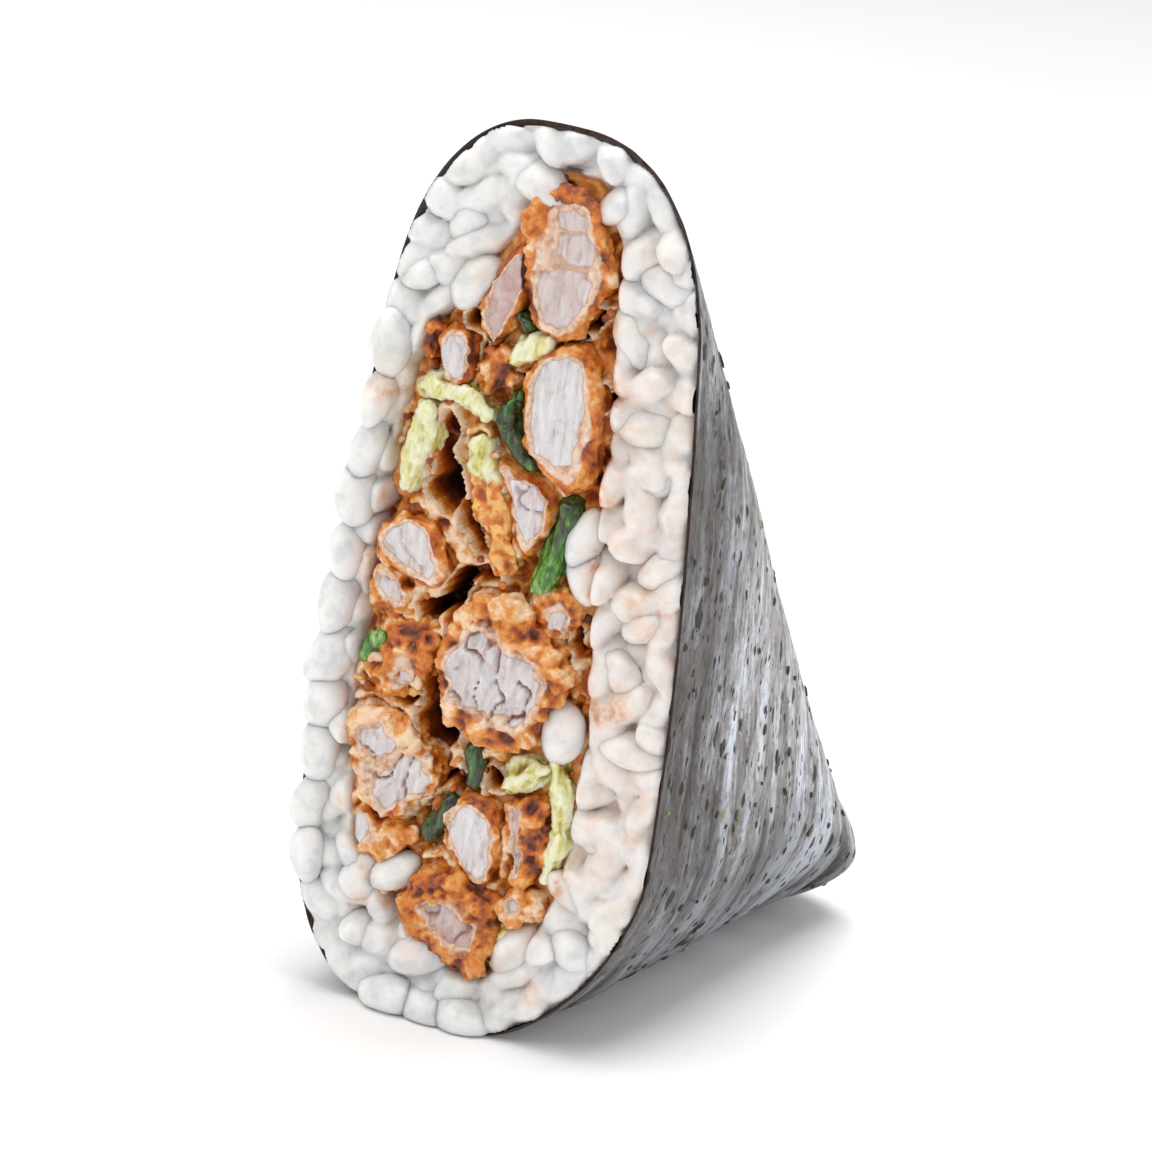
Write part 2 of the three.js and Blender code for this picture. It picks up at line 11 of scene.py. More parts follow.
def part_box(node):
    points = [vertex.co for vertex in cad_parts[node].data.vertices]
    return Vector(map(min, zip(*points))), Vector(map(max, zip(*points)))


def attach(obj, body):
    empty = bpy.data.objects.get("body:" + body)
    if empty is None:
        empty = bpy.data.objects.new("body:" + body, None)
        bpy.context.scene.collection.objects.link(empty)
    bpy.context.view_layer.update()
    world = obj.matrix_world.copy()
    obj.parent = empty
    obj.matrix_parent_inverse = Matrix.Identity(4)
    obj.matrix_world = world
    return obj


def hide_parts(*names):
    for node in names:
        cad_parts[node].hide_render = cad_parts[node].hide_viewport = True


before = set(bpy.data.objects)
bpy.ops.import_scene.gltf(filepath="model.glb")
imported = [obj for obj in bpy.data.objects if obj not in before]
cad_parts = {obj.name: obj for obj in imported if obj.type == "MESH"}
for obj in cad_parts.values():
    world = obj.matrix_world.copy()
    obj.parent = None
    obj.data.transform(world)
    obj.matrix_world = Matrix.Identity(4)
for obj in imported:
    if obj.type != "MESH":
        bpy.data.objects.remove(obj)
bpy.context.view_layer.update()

# Shapes are worked out in millimetres from the cut face: y is the depth behind the cut, z the height, and x
# the distance from the middle of the cut. place() turns them into the frame's metres.
MM = 0.001

# ---- The body's form, as in the part ----

HEIGHT = 75.0
HALF_WIDTH = 15.3
LENGTH = 48.7
CORNER_HEIGHT = 7.0
CORNER_WIDTH_SHARE = 0.68
CORNER_ROUND = 5.0
SKEW = 0.2
NARROWING_POWER = 1.6
SHEET = 0.5
LOWER_LEFT = {"flat": 6.5, "rise": 15.0, "power": 2.0}
LOWER_RIGHT = {"flat": 3.0, "rise": 17.0, "power": 1.6}
TAPER = {"from": 0.35, "share": 0.26, "power": 1.5}
TOP = {"drop": 17.0, "power": 2.6}

# The filling's pocket: height, then its left and right edges on the cut face.
POCKET = np.array([
    (4.4, -0.5, 2.2), (8.6, -6.6, 6), (14, -10.3, 7.9), (22, -11.6, 8.2), (30, -11.9, 8), (38, -11.6, 7.2),
    (48, -11, 6.6), (54, -10.2, 6.4), (57.5, -9.4, 6.1), (60, -6.6, 6), (66, -3.4, 5.4), (71, -0.6, 2.6),
])

wrap_low, wrap_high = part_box("seaweed")
FOOT = np.array([-HALF_WIDTH - wrap_low.x / MM, LENGTH - wrap_high.y / MM, 0.0])


def place(points):
    return (np.asarray(points, float) - FOOT) * MM


def unplace(points):
    return np.asarray(points, float) / MM + FOOT


def smoothstep(low, high, value):
    t = np.clip((value - low) / (high - low), 0, 1)
    return t * t * (3 - 2 * t)


# ---- Noise ----

LATTICE_SIZE = 48
LATTICE = np.random.default_rng(5).random((LATTICE_SIZE,) * 3)


def noise(points, size, seed=0):
    """Smooth noise from 0 to 1 whose lumps are about size millimetres across."""
    p = np.asarray(points, float) / size + seed * 7.31
    cell = np.floor(p).astype(int)
    t = p - cell
    t = t * t * (3 - 2 * t)
    total = np.zeros(p.shape[:-1])
    for corner in np.ndindex(2, 2, 2):
        weight = np.prod(np.where(corner, t, 1 - t), axis=-1)
        i, j, k = ((cell[..., axis] + corner[axis]) % LATTICE_SIZE for axis in range(3))
        total += weight * LATTICE[i, j, k]
    return total


def fractal(points, size, octaves, seed=0):
    total = 0
    reach = 0
    for octave in range(octaves):
        total = total + noise(points, size / 2**octave, seed + octave) * 0.55**octave
        reach += 0.55**octave
    return total / reach


def ridged(points, size, octaves, seed=0):
    return 1 - np.abs(2 * fractal(points, size, octaves, seed) - 1)


# ---- The body's surface and distances on the cut face ----


def super_round(u, power):
    return np.maximum(1 - np.clip(u, 0, 1) ** power, 0) ** (1 / power)


def half_width(z, h, g, lower):
    fit = np.minimum(1, 0.98 * h / ((lower["rise"] + TOP["drop"]) * g))
    rise = lower["rise"] * g * fit
    drop = TOP["drop"] * g * fit
    from_below = super_round(1 - z / rise, lower["power"])
    from_above = super_round((z - (h - drop)) / drop, TOP["power"])
    up = np.clip((z / h - TAPER["from"]) / (1 - TAPER["from"]), 0, 1)
    flat = lower["flat"] * np.minimum(1, h / HEIGHT + 0.35)
    full = HALF_WIDTH * (1 - TAPER["share"] * up ** TAPER["power"])
    return g * (flat + (full - flat) * from_below) * from_above


def section_height(y):
    return HEIGHT - (HEIGHT - CORNER_HEIGHT) * y / LENGTH


def width_share(y):
    return 1 - (1 - CORNER_WIDTH_SHARE) * np.clip(y / LENGTH, 0, 1) ** NARROWING_POWER


def body_surface(depths, arounds):
    """Points of the wrap's outside. Around runs 0 to 1 up the right, to 2 down the left and to 3 below."""
    y, t = np.meshgrid(depths, arounds, indexing="ij")
    h = section_height(y)
    g = width_share(y)
    s = np.where(t <= 1, t, np.clip(2 - t, 0, 1))
    z = h * (1 - np.cos(np.pi * s)) / 2
    right = half_width(z, h, g, LOWER_RIGHT)
    left = -half_width(z, h, g, LOWER_LEFT)
    over_base = left + (right - left) * (t - 2)
    x = np.where(t <= 1, right, np.where(t <= 2, left, over_base))
    end = np.clip((y - (LENGTH - CORNER_ROUND)) / CORNER_ROUND, 0, 1)
    shrink = np.sqrt(np.maximum(1 - end * end, 0.004))
    lifted = h / 2 + (z - h / 2) * (0.4 + 0.6 * shrink)
    return np.stack([x * shrink + SKEW * y, y, np.maximum(lifted, 0)], axis=-1)


def ring_normals(surface):
    """Outward normals of a surface given as rings, closed all round."""
    along = np.gradient(surface, axis=0)
    around = np.roll(surface, -1, axis=1) - np.roll(surface, 1, axis=1)
    normals = np.cross(along, around)
    return normals / np.maximum(np.linalg.norm(normals, axis=-1, keepdims=True), 1e-9)


CHUNK = 2000  # how many points are worked out at a time, to spare memory


def signed_distance(xz, polygon):
    """Distance from points to a closed anticlockwise polygon, positive inside, and the way inwards."""
    a = polygon
    edge = np.roll(polygon, -1, axis=0) - a
    length2 = np.maximum((edge**2).sum(1), 1e-12)
    inward = np.stack([-edge[:, 1], edge[:, 0]], axis=1) / np.sqrt(length2)[:, None]
    distance = np.empty(len(xz))
    ways = np.empty((len(xz), 2))
    for start in range(0, len(xz), CHUNK):
        part = slice(start, start + CHUNK)
        p = xz[part]
        rel = p[:, None, :] - a[None]
        t = np.clip((rel * edge[None]).sum(2) / length2, 0, 1)
        off = rel - t[..., None] * edge[None]
        d2 = (off**2).sum(2)
        nearest = d2.argmin(1)
        rows = np.arange(len(p))
        x0, z0 = rel[..., 0], rel[..., 1]
        x1, z1 = np.roll(x0, -1, axis=1), np.roll(z0, -1, axis=1)
        crossing = ((z0 > 0) != (z1 > 0)) & (x0 - z0 * (x1 - x0) / np.where(z1 == z0, 1e-9, z1 - z0) > 0)
        inside = crossing.sum(1) % 2 == 1
        distance[part] = np.sqrt(d2[rows, nearest]) * np.where(inside, 1, -1)
        ways[part] = inward[nearest]
    return distance, ways


CUT_OUTLINE = body_surface([0.0], np.linspace(0, 2, 241))[0][:, [0, 2]]
POCKET_OUTLINE = np.concatenate([POCKET[:, [2, 0]], POCKET[::-1][:, [1, 0]]])


def to_cut_face(points):
    """Where points lie on the cut face once they are carried forward along the body's taper."""
    y = np.clip(points[:, 1], 0, LENGTH - 1)
    x = (points[:, 0] - SKEW * y) / width_share(y)
    return np.stack([x, points[:, 2] * HEIGHT / section_height(y)], axis=1)


def room_behind(z):
    """How deep a shape behind the cut may reach at height z before it nears the wrap's sloping back."""
    return 0.55 * (HEIGHT - z) * LENGTH / (HEIGHT - CORNER_HEIGHT)


EASED = (-0.6, 0.3)  # depths over which keep_inside takes hold


def keep_inside(points, clearance):
    """Eases points that lie behind the cut to the inside of the wrap. In front of it they may overhang."""
    hidden = points[:, 1] > EASED[0]
    if not hidden.any():
        return points
    face = to_cut_face(points[hidden])
    distance, inward = signed_distance(face, CUT_OUTLINE)
    eased = smoothstep(*EASED, points[hidden][:, 1])
    face += inward * (eased * np.maximum(clearance - distance, 0))[:, None]
    y = np.clip(points[hidden][:, 1], 0, LENGTH - 1)
    moved = points.copy()
    moved[hidden, 0] = face[:, 0] * width_share(y) + SKEW * y
    moved[hidden, 2] = face[:, 1] * section_height(y) / HEIGHT
    return moved


def polyline_distance(xz, line):
    """Distance from points to an open polyline, given as its points."""
    nearest = np.full(len(xz), 1e9)
    for a, b in zip(line[:-1], line[1:]):
        edge = b - a
        t = np.clip(((xz - a) @ edge) / (edge @ edge), 0, 1)
        nearest = np.minimum(nearest, np.hypot(*(xz - a - t[:, None] * edge).T))
    return nearest


# ---- Meshes ----


def scene_object(name, data):
    """A new object in the scene."""
    made = bpy.data.objects.new(name, data)
    bpy.context.scene.collection.objects.link(made)
    return made


def mesh_piece(name, points, faces, material, attributes=None):
    """A smooth-shaded piece from points in millimetres, riding on the body."""
    mesh = bpy.data.meshes.new(name)
    mesh.from_pydata(place(points).tolist(), [], faces if isinstance(faces, list) else faces.tolist())
    for key, values in (attributes or {}).items():
        values = np.asarray(values, np.float32)
        kind = "FLOAT_VECTOR" if values.ndim == 2 else "FLOAT"
        data = mesh.attributes.new(key, kind, "POINT").data
        data.foreach_set("vector" if values.ndim == 2 else "value", values.ravel())
    mesh.shade_smooth()
    mesh.materials.append(material)
    piece = scene_object(name, mesh)
    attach(piece, "root")
    return piece


def ring_faces(rings, around, first=0):
    """Quads between rings of points, closed all round."""
    r, i = np.meshgrid(np.arange(rings - 1), np.arange(around), indexing="ij")
    a = first + r * around + i
    b = first + r * around + (i + 1) % around
    return np.stack([a, a + around, b + around, b], axis=-1).reshape(-1, 4)


def cut_grid(across, up, step):
    """A grid's points on the cut face, as x and z and as x, 0 and z, and how many columns and rows it has."""
    columns, rows = np.arange(*across, step), np.arange(*up, step)
    x, z = (values.ravel() for values in np.meshgrid(columns, rows, indexing="ij"))
    return np.stack([x, z], 1), np.stack([x, np.zeros(len(x)), z], 1), (len(columns), len(rows))


def grid_faces(columns, rows, keep):
    """Quads of a grid of columns by rows, facing -y, where all four corners are kept."""
    i, j = np.meshgrid(np.arange(columns - 1), np.arange(rows - 1), indexing="ij")
    a = i * rows + j
    quads = np.stack([a, a + rows, a + rows + 1, a + 1], axis=-1).reshape(-1, 4)
    return quads[keep[quads].all(axis=1)]


def used_only(points, faces, attributes):
    used = np.unique(faces)
    renumber = np.zeros(len(points), int)
    renumber[used] = np.arange(len(used))
    return points[used], renumber[faces], {key: value[used] for key, value in attributes.items()}


def ball(subdivisions):
    """The points and triangles of a unit ball."""
    bm = bmesh.new()
    bmesh.ops.create_icosphere(bm, subdivisions=subdivisions, radius=1)
    bm.verts.ensure_lookup_table()
    points = np.array([v.co[:] for v in bm.verts])
    faces = np.array([[v.index for v in f.verts] for f in bm.faces])
    bm.free()
    return points, faces


def frames_towards(directions, spins):
    """Rotation matrices (n, 3, 3) that turn +z to each direction, after a spin about it."""
    w = directions / np.linalg.norm(directions, axis=1, keepdims=True)
    helper = np.where(np.abs(w[:, :1]) < 0.8, [[1.0, 0, 0]], [[0, 1.0, 0]])
    u = np.cross(helper, w)
    u /= np.linalg.norm(u, axis=1, keepdims=True)
    v = np.cross(w, u)
    c, s = np.cos(spins)[:, None], np.sin(spins)[:, None]
    return np.stack([u * c + v * s, v * c - u * s, w], axis=2)


def scattered(shape, faces, places, turns, sizes):
    """Copies of a shape as one array: points (n, v, 3) and all their faces."""
    points = np.einsum("nij,nvj->nvi", turns, shape[None] * sizes[:, None, :]) + places[:, None, :]
    offsets = np.arange(len(places))[:, None, None] * shape.shape[0]
    return points, (faces[None] + offsets).reshape(-1, faces.shape[1])


# ---- Materials ----


class Surface:
    """A node material, with short ways to add what its textures need."""

    def __init__(self, name, **sockets):
        self.material = bpy.data.materials.new(name)
        self.material.use_nodes = True
        self.tree = self.material.node_tree
        self.shader = self.tree.nodes["Principled BSDF"]
        self.object_space = self.add("TexCoord", "Object")
        for socket, value in sockets.items():
            self.set(socket.replace("_", " "), value)

    def wire(self, node, socket, source):
        """Sets a node's socket to a value, or links another node's output to it."""
        if isinstance(source, (int, float, tuple)):
            node.inputs[socket].default_value = source
        else:
            self.tree.links.new(source, node.inputs[socket])

    def set(self, socket, source):
        self.wire(self.shader, socket, source)

    def add(self, kind, output, *wires, **settings):
        """An output of a new node, given its settings and what each of its sockets holds."""
        node = self.tree.nodes.new("ShaderNode" + kind)
        for key, value in settings.items():
            setattr(node, key, value)
        for socket, source in wires:
            self.wire(node, socket, source)
        return node.outputs[output]

    def attribute(self, name, output="Fac"):
        return self.add("Attribute", output, attribute_name=name)

    def stretched(self, stretch, vector=None):
        return self.add("Mapping", "Vector", ("Vector", vector or self.object_space), ("Scale", stretch))

    def noise(self, size, detail=4.0, roughness=0.55, vector=None, distortion=0.0, unit=MM):
        wires = {"Vector": vector or self.object_space, "Scale": 1 / (size * unit), "Detail": detail}
        wires.update(Roughness=roughness, Distortion=distortion)
        return self.add("TexNoise", "Fac", *wires.items())

    def warped(self, vector, size, reach):
        """The vector shifted about by noise of the same unit."""
        noise = self.add("TexNoise", "Color", ("Vector", vector), ("Scale", 1 / size))
        centred = self.add("VectorMath", "Vector", (0, noise), (1, (0.5,) * 3), operation="SUBTRACT")
        wires = enumerate((centred, (reach,) * 3, vector))
        return self.add("VectorMath", "Vector", *wires, operation="MULTIPLY_ADD")

    def cells(self, size, vector, output="Distance"):
        return self.add("TexVoronoi", output, ("Vector", vector), ("Scale", 1 / size))

    def ramp(self, source, *stops):
        """A colour ramp whose stops are a position and a colour's red, green and blue."""
        output = self.add("ValToRGB", "Color", ("Fac", source))
        elements = output.node.color_ramp.elements
        while len(elements) < len(stops):
            elements.new(0.5)
        for element, (position, *colour) in zip(elements, stops):
            element.position = position
            element.color = (*colour, 1)
        return output

    def range(self, source, low, high, to_low=0.0, to_high=1.0):
        wires = enumerate((source, low, high, to_low, to_high))
        return self.add("MapRange", "Result", *wires, interpolation_type="SMOOTHSTEP")

    def maths(self, operation, a, b):
        return self.add("Math", "Value", (0, a), (1, b), operation=operation)

    def times(self, a, b):
        return self.maths("MULTIPLY", a, b)

    def larger(self, a, b):
        return self.maths("MAXIMUM", a, b)

    def total(self, first, *parts):
        """The first output, and on top of it each part times its share."""
        for part, share in parts:
            first = self.maths("ADD", first, self.times(part, share))
        return first

    def mix(self, factor, *colours):
        sources = ((*colour, 1) if isinstance(colour, tuple) else colour for colour in colours)
        return self.add("Mix", 2, (0, factor), *zip((6, 7), sources), data_type="RGBA")

    def bump(self, height, distance, strength):
        wires = {"Height": height, "Distance": distance * MM, "Strength": strength}
        return self.add("Bump", "Normal", *wires.items())

    def scatter(self, weight, radius, scale):
        """Light that scatters under the surface, over about scale millimetres."""
        for socket, value in (("Weight", weight), ("Radius", radius), ("Scale", scale * MM)):
            self.set("Subsurface " + socket, value)


def seaweed_material():
    """Pressed dried seaweed: a painted grey and silver sheen that stands in for the gloss's reflections,
    broken by pale and dark ribs, brownish patches and black pits.
    """
    s = Surface("dried_seaweed", IOR=1.5, Coat_Roughness=0.25)
    sheet = s.attribute("sheet", "Vector")

    def streaks(size, detail, roughness, stretch, distortion=0.0):
        """Noise in the sheet's own millimetres, drawn out up and down the wrap."""
        return s.noise(size, detail, roughness, s.stretched((stretch, 1, 1), sheet), distortion, unit=1)

    tone = s.total(
        s.times(streaks(1.3, 6, 0.7, 0.2, 0.7), 0.36),
        (streaks(2.6, 4, 0.6, 0.12, 0.6), 0.3),
        (streaks(0.45, 5, 0.7, 0.45, 0.3), 0.13),
        (streaks(1.2, 6, 0.75, 0.7, 0.6), 0.21),
    )
    # Painted reflection: the ribs' tone runs from near black up to a bluish silver sheen painted into the
    # colour.
    grey = s.ramp(
        s.total(tone, (s.attribute("painted_fold_shading"), 0.22)),
        (0.39, 0.03, 0.026, 0.023), (0.45, 0.125, 0.112, 0.106), (0.495, 0.285, 0.28, 0.287),
        (0.535, 0.48, 0.51, 0.565), (0.58, 0.74, 0.8, 0.9),
    )
    patches = s.range(streaks(5.5, 3, 0.55, 0.45, 0.8), 0.47, 0.66)
    brownish = s.mix(s.times(patches, 0.55), grey, (0.185, 0.16, 0.15))
    # Painted shade: this mask darkens the colour towards a dark brown-grey, and also weakens the gloss.
    dull_and_painted_shade = s.attribute("dull_and_painted_shade")
    low = s.mix(dull_and_painted_shade, brownish, s.mix(0.74, brownish, (0.062, 0.054, 0.049)))
    pore_space = s.warped(s.stretched((0.6, 1, 1), sheet), 0.7, 0.9)
    pits = 0.0
    for size, reach, chosen in ((3.2, 0.145, 0.55), (1.7, 0.18, 0.6), (0.9, 0.22, 0.6)):
        pick = s.range(s.cells(size, pore_space, "Color"), chosen, chosen + 0.02)
        spot = s.range(s.cells(size, pore_space), reach, reach + 0.09, 1, 0)
        pits = s.larger(s.times(spot, pick), pits)
    dark = s.mix(pits, low, (0.018, 0.014, 0.011))
    dashes = s.range(streaks(0.55, 4, 0.7, 0.3), 0.58, 0.66)
    dashed = s.mix(s.times(dashes, 0.75), dark, (0.035, 0.03, 0.027))
    green = s.range(streaks(1.5, 3, 0.6, 0.5), 0.69, 0.74)
    speckled = s.mix(green, dashed, (0.17, 0.17, 0.035))
    s.set("Base Color", s.mix(s.attribute("rim"), speckled, (0.04, 0.018, 0.012)))
    marks = s.larger(pits, dashes)
    matt = s.larger(dull_and_painted_shade, marks)
    s.set("Roughness", s.range(tone, 0.35, 0.65, 0.5, 0.34))
    s.set("Specular IOR Level", s.range(matt, 0, 1, 0.5, 0.1))
    s.set("Coat Weight", s.range(matt, 0, 1, 0.15, 0))
    s.set("Normal", s.bump(s.maths("SUBTRACT", tone, s.times(marks, 0.3)), 0.34, 0.9))
    return s.material


def flake_material():
    """Crumbled herb and seaweed flakes, from near black to olive."""
    s = Surface("dried_flakes", Roughness=0.6)
    stops = (0.0, 0.018, 0.016, 0.012), (0.7, 0.05, 0.05, 0.02), (1.0, 0.2, 0.2, 0.05)
    s.set("Base Color", s.ramp(s.attribute("tone"), *stops))
    s.set("Normal", s.bump(s.noise(0.2), 0.05, 0.6))
    return s.material


def rice_material():
    """Moist cooked rice: white, with painted blue-grey shade standing in for translucency at the grains'
    edges and in the creases between them, stained peach by the filling.
    """
    s = Surface("cooked_rice", Coat_Weight=0.28, Coat_Roughness=0.15)
    s.scatter(0.7, (1.0, 0.9, 0.8), 1.5)
    cloudy = s.noise(1.6, 4, 0.55)
    white = s.ramp(cloudy, (0.35, 0.65, 0.66, 0.67), (0.5, 0.78, 0.78, 0.77), (0.66, 0.84, 0.83, 0.815))
    # Painted shade: blue-grey where the edge attribute marks a grain's side or a crease between grains.
    painted_edge_shade = s.mix(s.times(s.attribute("edge"), 0.3), white, (0.56, 0.59, 0.61))
    cast = s.mix(s.range(s.noise(3.5, 2), 0.5, 0.75, 0, 0.35), painted_edge_shade, (0.74, 0.73, 0.6))
    stain = s.times(s.attribute("stain"), s.range(s.noise(1.3, 4, 0.6), 0.3, 0.7, 0.35, 1))
    sauce = s.ramp(stain, (0.0, 0.8, 0.66, 0.6), (0.5, 0.78, 0.5, 0.34), (1.0, 0.52, 0.2, 0.06))
    s.set("Base Color", s.mix(stain, cast, sauce))
    s.set("Normal", s.bump(s.total(s.noise(0.5, 4, 0.6), (s.noise(1.6, 2), 1.5)), 0.1, 0.6))
    s.set("Roughness", s.range(s.noise(0.9, 3), 0.3, 0.7, 0.34, 0.5))
    return s.material


def crust_colour(s):
    """Fried breading: orange-brown, with painted shade making it nearly black-red in the hollows and a
    painted oily highlight making it pale on the crests.
    """
    grain = s.noise(0.55, 6, 0.65, distortion=0.4)
    broad = s.noise(2.2, 5, 0.55, distortion=1.0)
    return s.ramp(
        s.total(s.times(grain, 0.42), (broad, 0.58), (s.attribute("crest"), 0.42)),
        (0.34, 0.12, 0.022, 0.005), (0.43, 0.28, 0.052, 0.006), (0.52, 0.5, 0.11, 0.006),
        (0.62, 0.68, 0.2, 0.012), (0.71, 0.8, 0.36, 0.09), (0.81, 0.91, 0.67, 0.45),
    ), grain


def chicken_material():
    """Fried chicken cut through. Its share attribute is below 0 in the meat, 0 to 0.5 in the pale batter, and
    1 at the outside of the browned crust."""
    s = Surface("fried_chicken", Coat_Weight=0.22, Coat_Roughness=0.15)
    s.scatter(0.15, (1.0, 0.6, 0.45), 0.5)
    crust, grain = crust_colour(s)
    fibres = s.noise(0.5, 5, 0.6, s.stretched((1.0, 1.0, 0.16)), 0.5)
    meat = s.ramp(
        fibres,
        (0.28, 0.48, 0.35, 0.32), (0.42, 0.68, 0.62, 0.62),
        (0.58, 0.77, 0.75, 0.765), (0.7, 0.84, 0.82, 0.83),
    )
    rosy = s.times(s.attribute("rosy"), s.range(s.noise(1.8, 3), 0.3, 0.65, 0.45, 1))
    # Torn cracks: dark red-brown, partly the meat's own colour and partly painted shade in the cracks.
    torn = s.mix(s.attribute("tear"), meat, (0.33, 0.1, 0.055))
    flesh = s.mix(rosy, torn, (0.56, 0.34, 0.3))
    ragged = s.maths("SUBTRACT", s.noise(0.8, 4, 0.6), 0.5)
    share = s.total(s.attribute("share"), (ragged, 0.34))
    stops = (0.32, 0.5, 0.24, 0.11), (0.47, 0.78, 0.52, 0.36), (0.65, 0.88, 0.71, 0.58)
    batter = s.ramp(s.noise(0.7, 5, 0.6), *stops)
    rim = s.mix(s.range(share, -0.05, 0.05), flesh, batter)
    seam = s.times(s.range(share, -0.12, 0.0), s.range(share, 0.0, 0.14, 1, 0))
    lined = s.mix(s.times(seam, 0.5), rim, (0.45, 0.2, 0.1))
    s.set("Base Color", s.mix(s.range(share, 0.42, 0.62), lined, crust))
    s.set("Roughness", s.range(grain, 0.3, 0.7, 0.26, 0.5))
    s.set("Normal", s.bump(s.total(grain, (fibres, 0.6)), 0.28, 0.8))
    return s.material


def filling_material():
    """The saucy crumb between the pieces: orange-brown in front, with painted shade that makes it nearly
    black deep in the hollows.
    """
    s = Surface("saucy_filling", Roughness=0.32, Coat_Weight=0.3, Coat_Roughness=0.12)
    crust, grain = crust_colour(s)
    # Painted shade: darker, then nearly black, the deeper the crumb lies.
    deep = s.attribute("deep")
    shaded = s.mix(s.range(deep, 0.1, 0.55), crust, (0.2, 0.04, 0.01))
    s.set("Base Color", s.mix(s.range(deep, 0.45, 0.9), shaded, (0.05, 0.011, 0.005)))
    s.set("Normal", s.bump(grain, 0.3, 0.8))
    return s.material


def cabbage_material():
    """Blanched cabbage: pale yellow-green and moist, glazed orange where sauce clings."""
    s = Surface("cabbage_shred", Roughness=0.3, Coat_Weight=0.3, Coat_Roughness=0.12)
    s.scatter(0.3, (0.9, 1.0, 0.4), 0.8)
    veins = s.noise(0.7, 5, 0.6, s.stretched((1, 1, 0.4)), 0.6)
    crest = s.attribute("crest")
    # The leaf is pale on its ripples' ridges and olive-brown in the hollows between them: partly its pale
    # ribs and partly painted light and shade.
    leaf = s.ramp(
        s.total(veins, (crest, 0.42)),
        (0.36, 0.2, 0.12, 0.012), (0.47, 0.43, 0.34, 0.05), (0.57, 0.63, 0.57, 0.17),
        (0.68, 0.75, 0.73, 0.39), (0.8, 0.82, 0.82, 0.6),
    )
    stops = (0.36, 0.34, 0.06, 0.004), (0.5, 0.7, 0.2, 0.01), (0.62, 0.84, 0.48, 0.15)
    glaze = s.ramp(s.total(s.noise(0.9, 5, 0.6), (crest, 0.2)), *stops)
    splashes = s.maths("SUBTRACT", s.noise(1.3, 4, 0.6), 0.5)
    patches = s.range(s.maths("ADD", s.attribute("sauce"), splashes), 0.35, 0.65)
    s.set("Base Color", s.mix(patches, leaf, glaze))
    s.set("Normal", s.bump(veins, 0.18, 0.8))
    return s.material


def onion_material():
    """Spring onion green, streaked along its length: nearly black where least fresh, bright where fresh."""
    s = Surface("spring_onion_green", Roughness=0.26, Coat_Weight=0.4, Coat_Roughness=0.1)
    streaks = s.noise(0.5, 5, 0.6, s.stretched((1, 1, 0.3)), 0.5)
    fresh = s.maths("SUBTRACT", s.attribute("fresh"), 0.5)
    s.set("Base Color", s.ramp(
        s.total(streaks, (fresh, 0.22)),
        (0.32, 0.012, 0.014, 0.008), (0.44, 0.04, 0.065, 0.012), (0.54, 0.045, 0.17, 0.018),
        (0.64, 0.15, 0.34, 0.05), (0.76, 0.45, 0.55, 0.22),
    ))
    s.set("Normal", s.bump(streaks, 0.16, 0.8))
    return s.material


# ---- Seaweed ----

CREASES_BELOW = 22.0  # height under which the wrap is creased where it turns under the base
INNER_RINGS = 24  # rings of the wrap's inside that the cut leaves open to view
EDGE = 0.20  # thickness of the wrap where the knife pressed it at the cut
SHRUNK = 0.55  # how far the wrap has drawn back from the cut on the left
SIDES_APART = 5.0  # how far apart the texture keeps the wrap's two sides


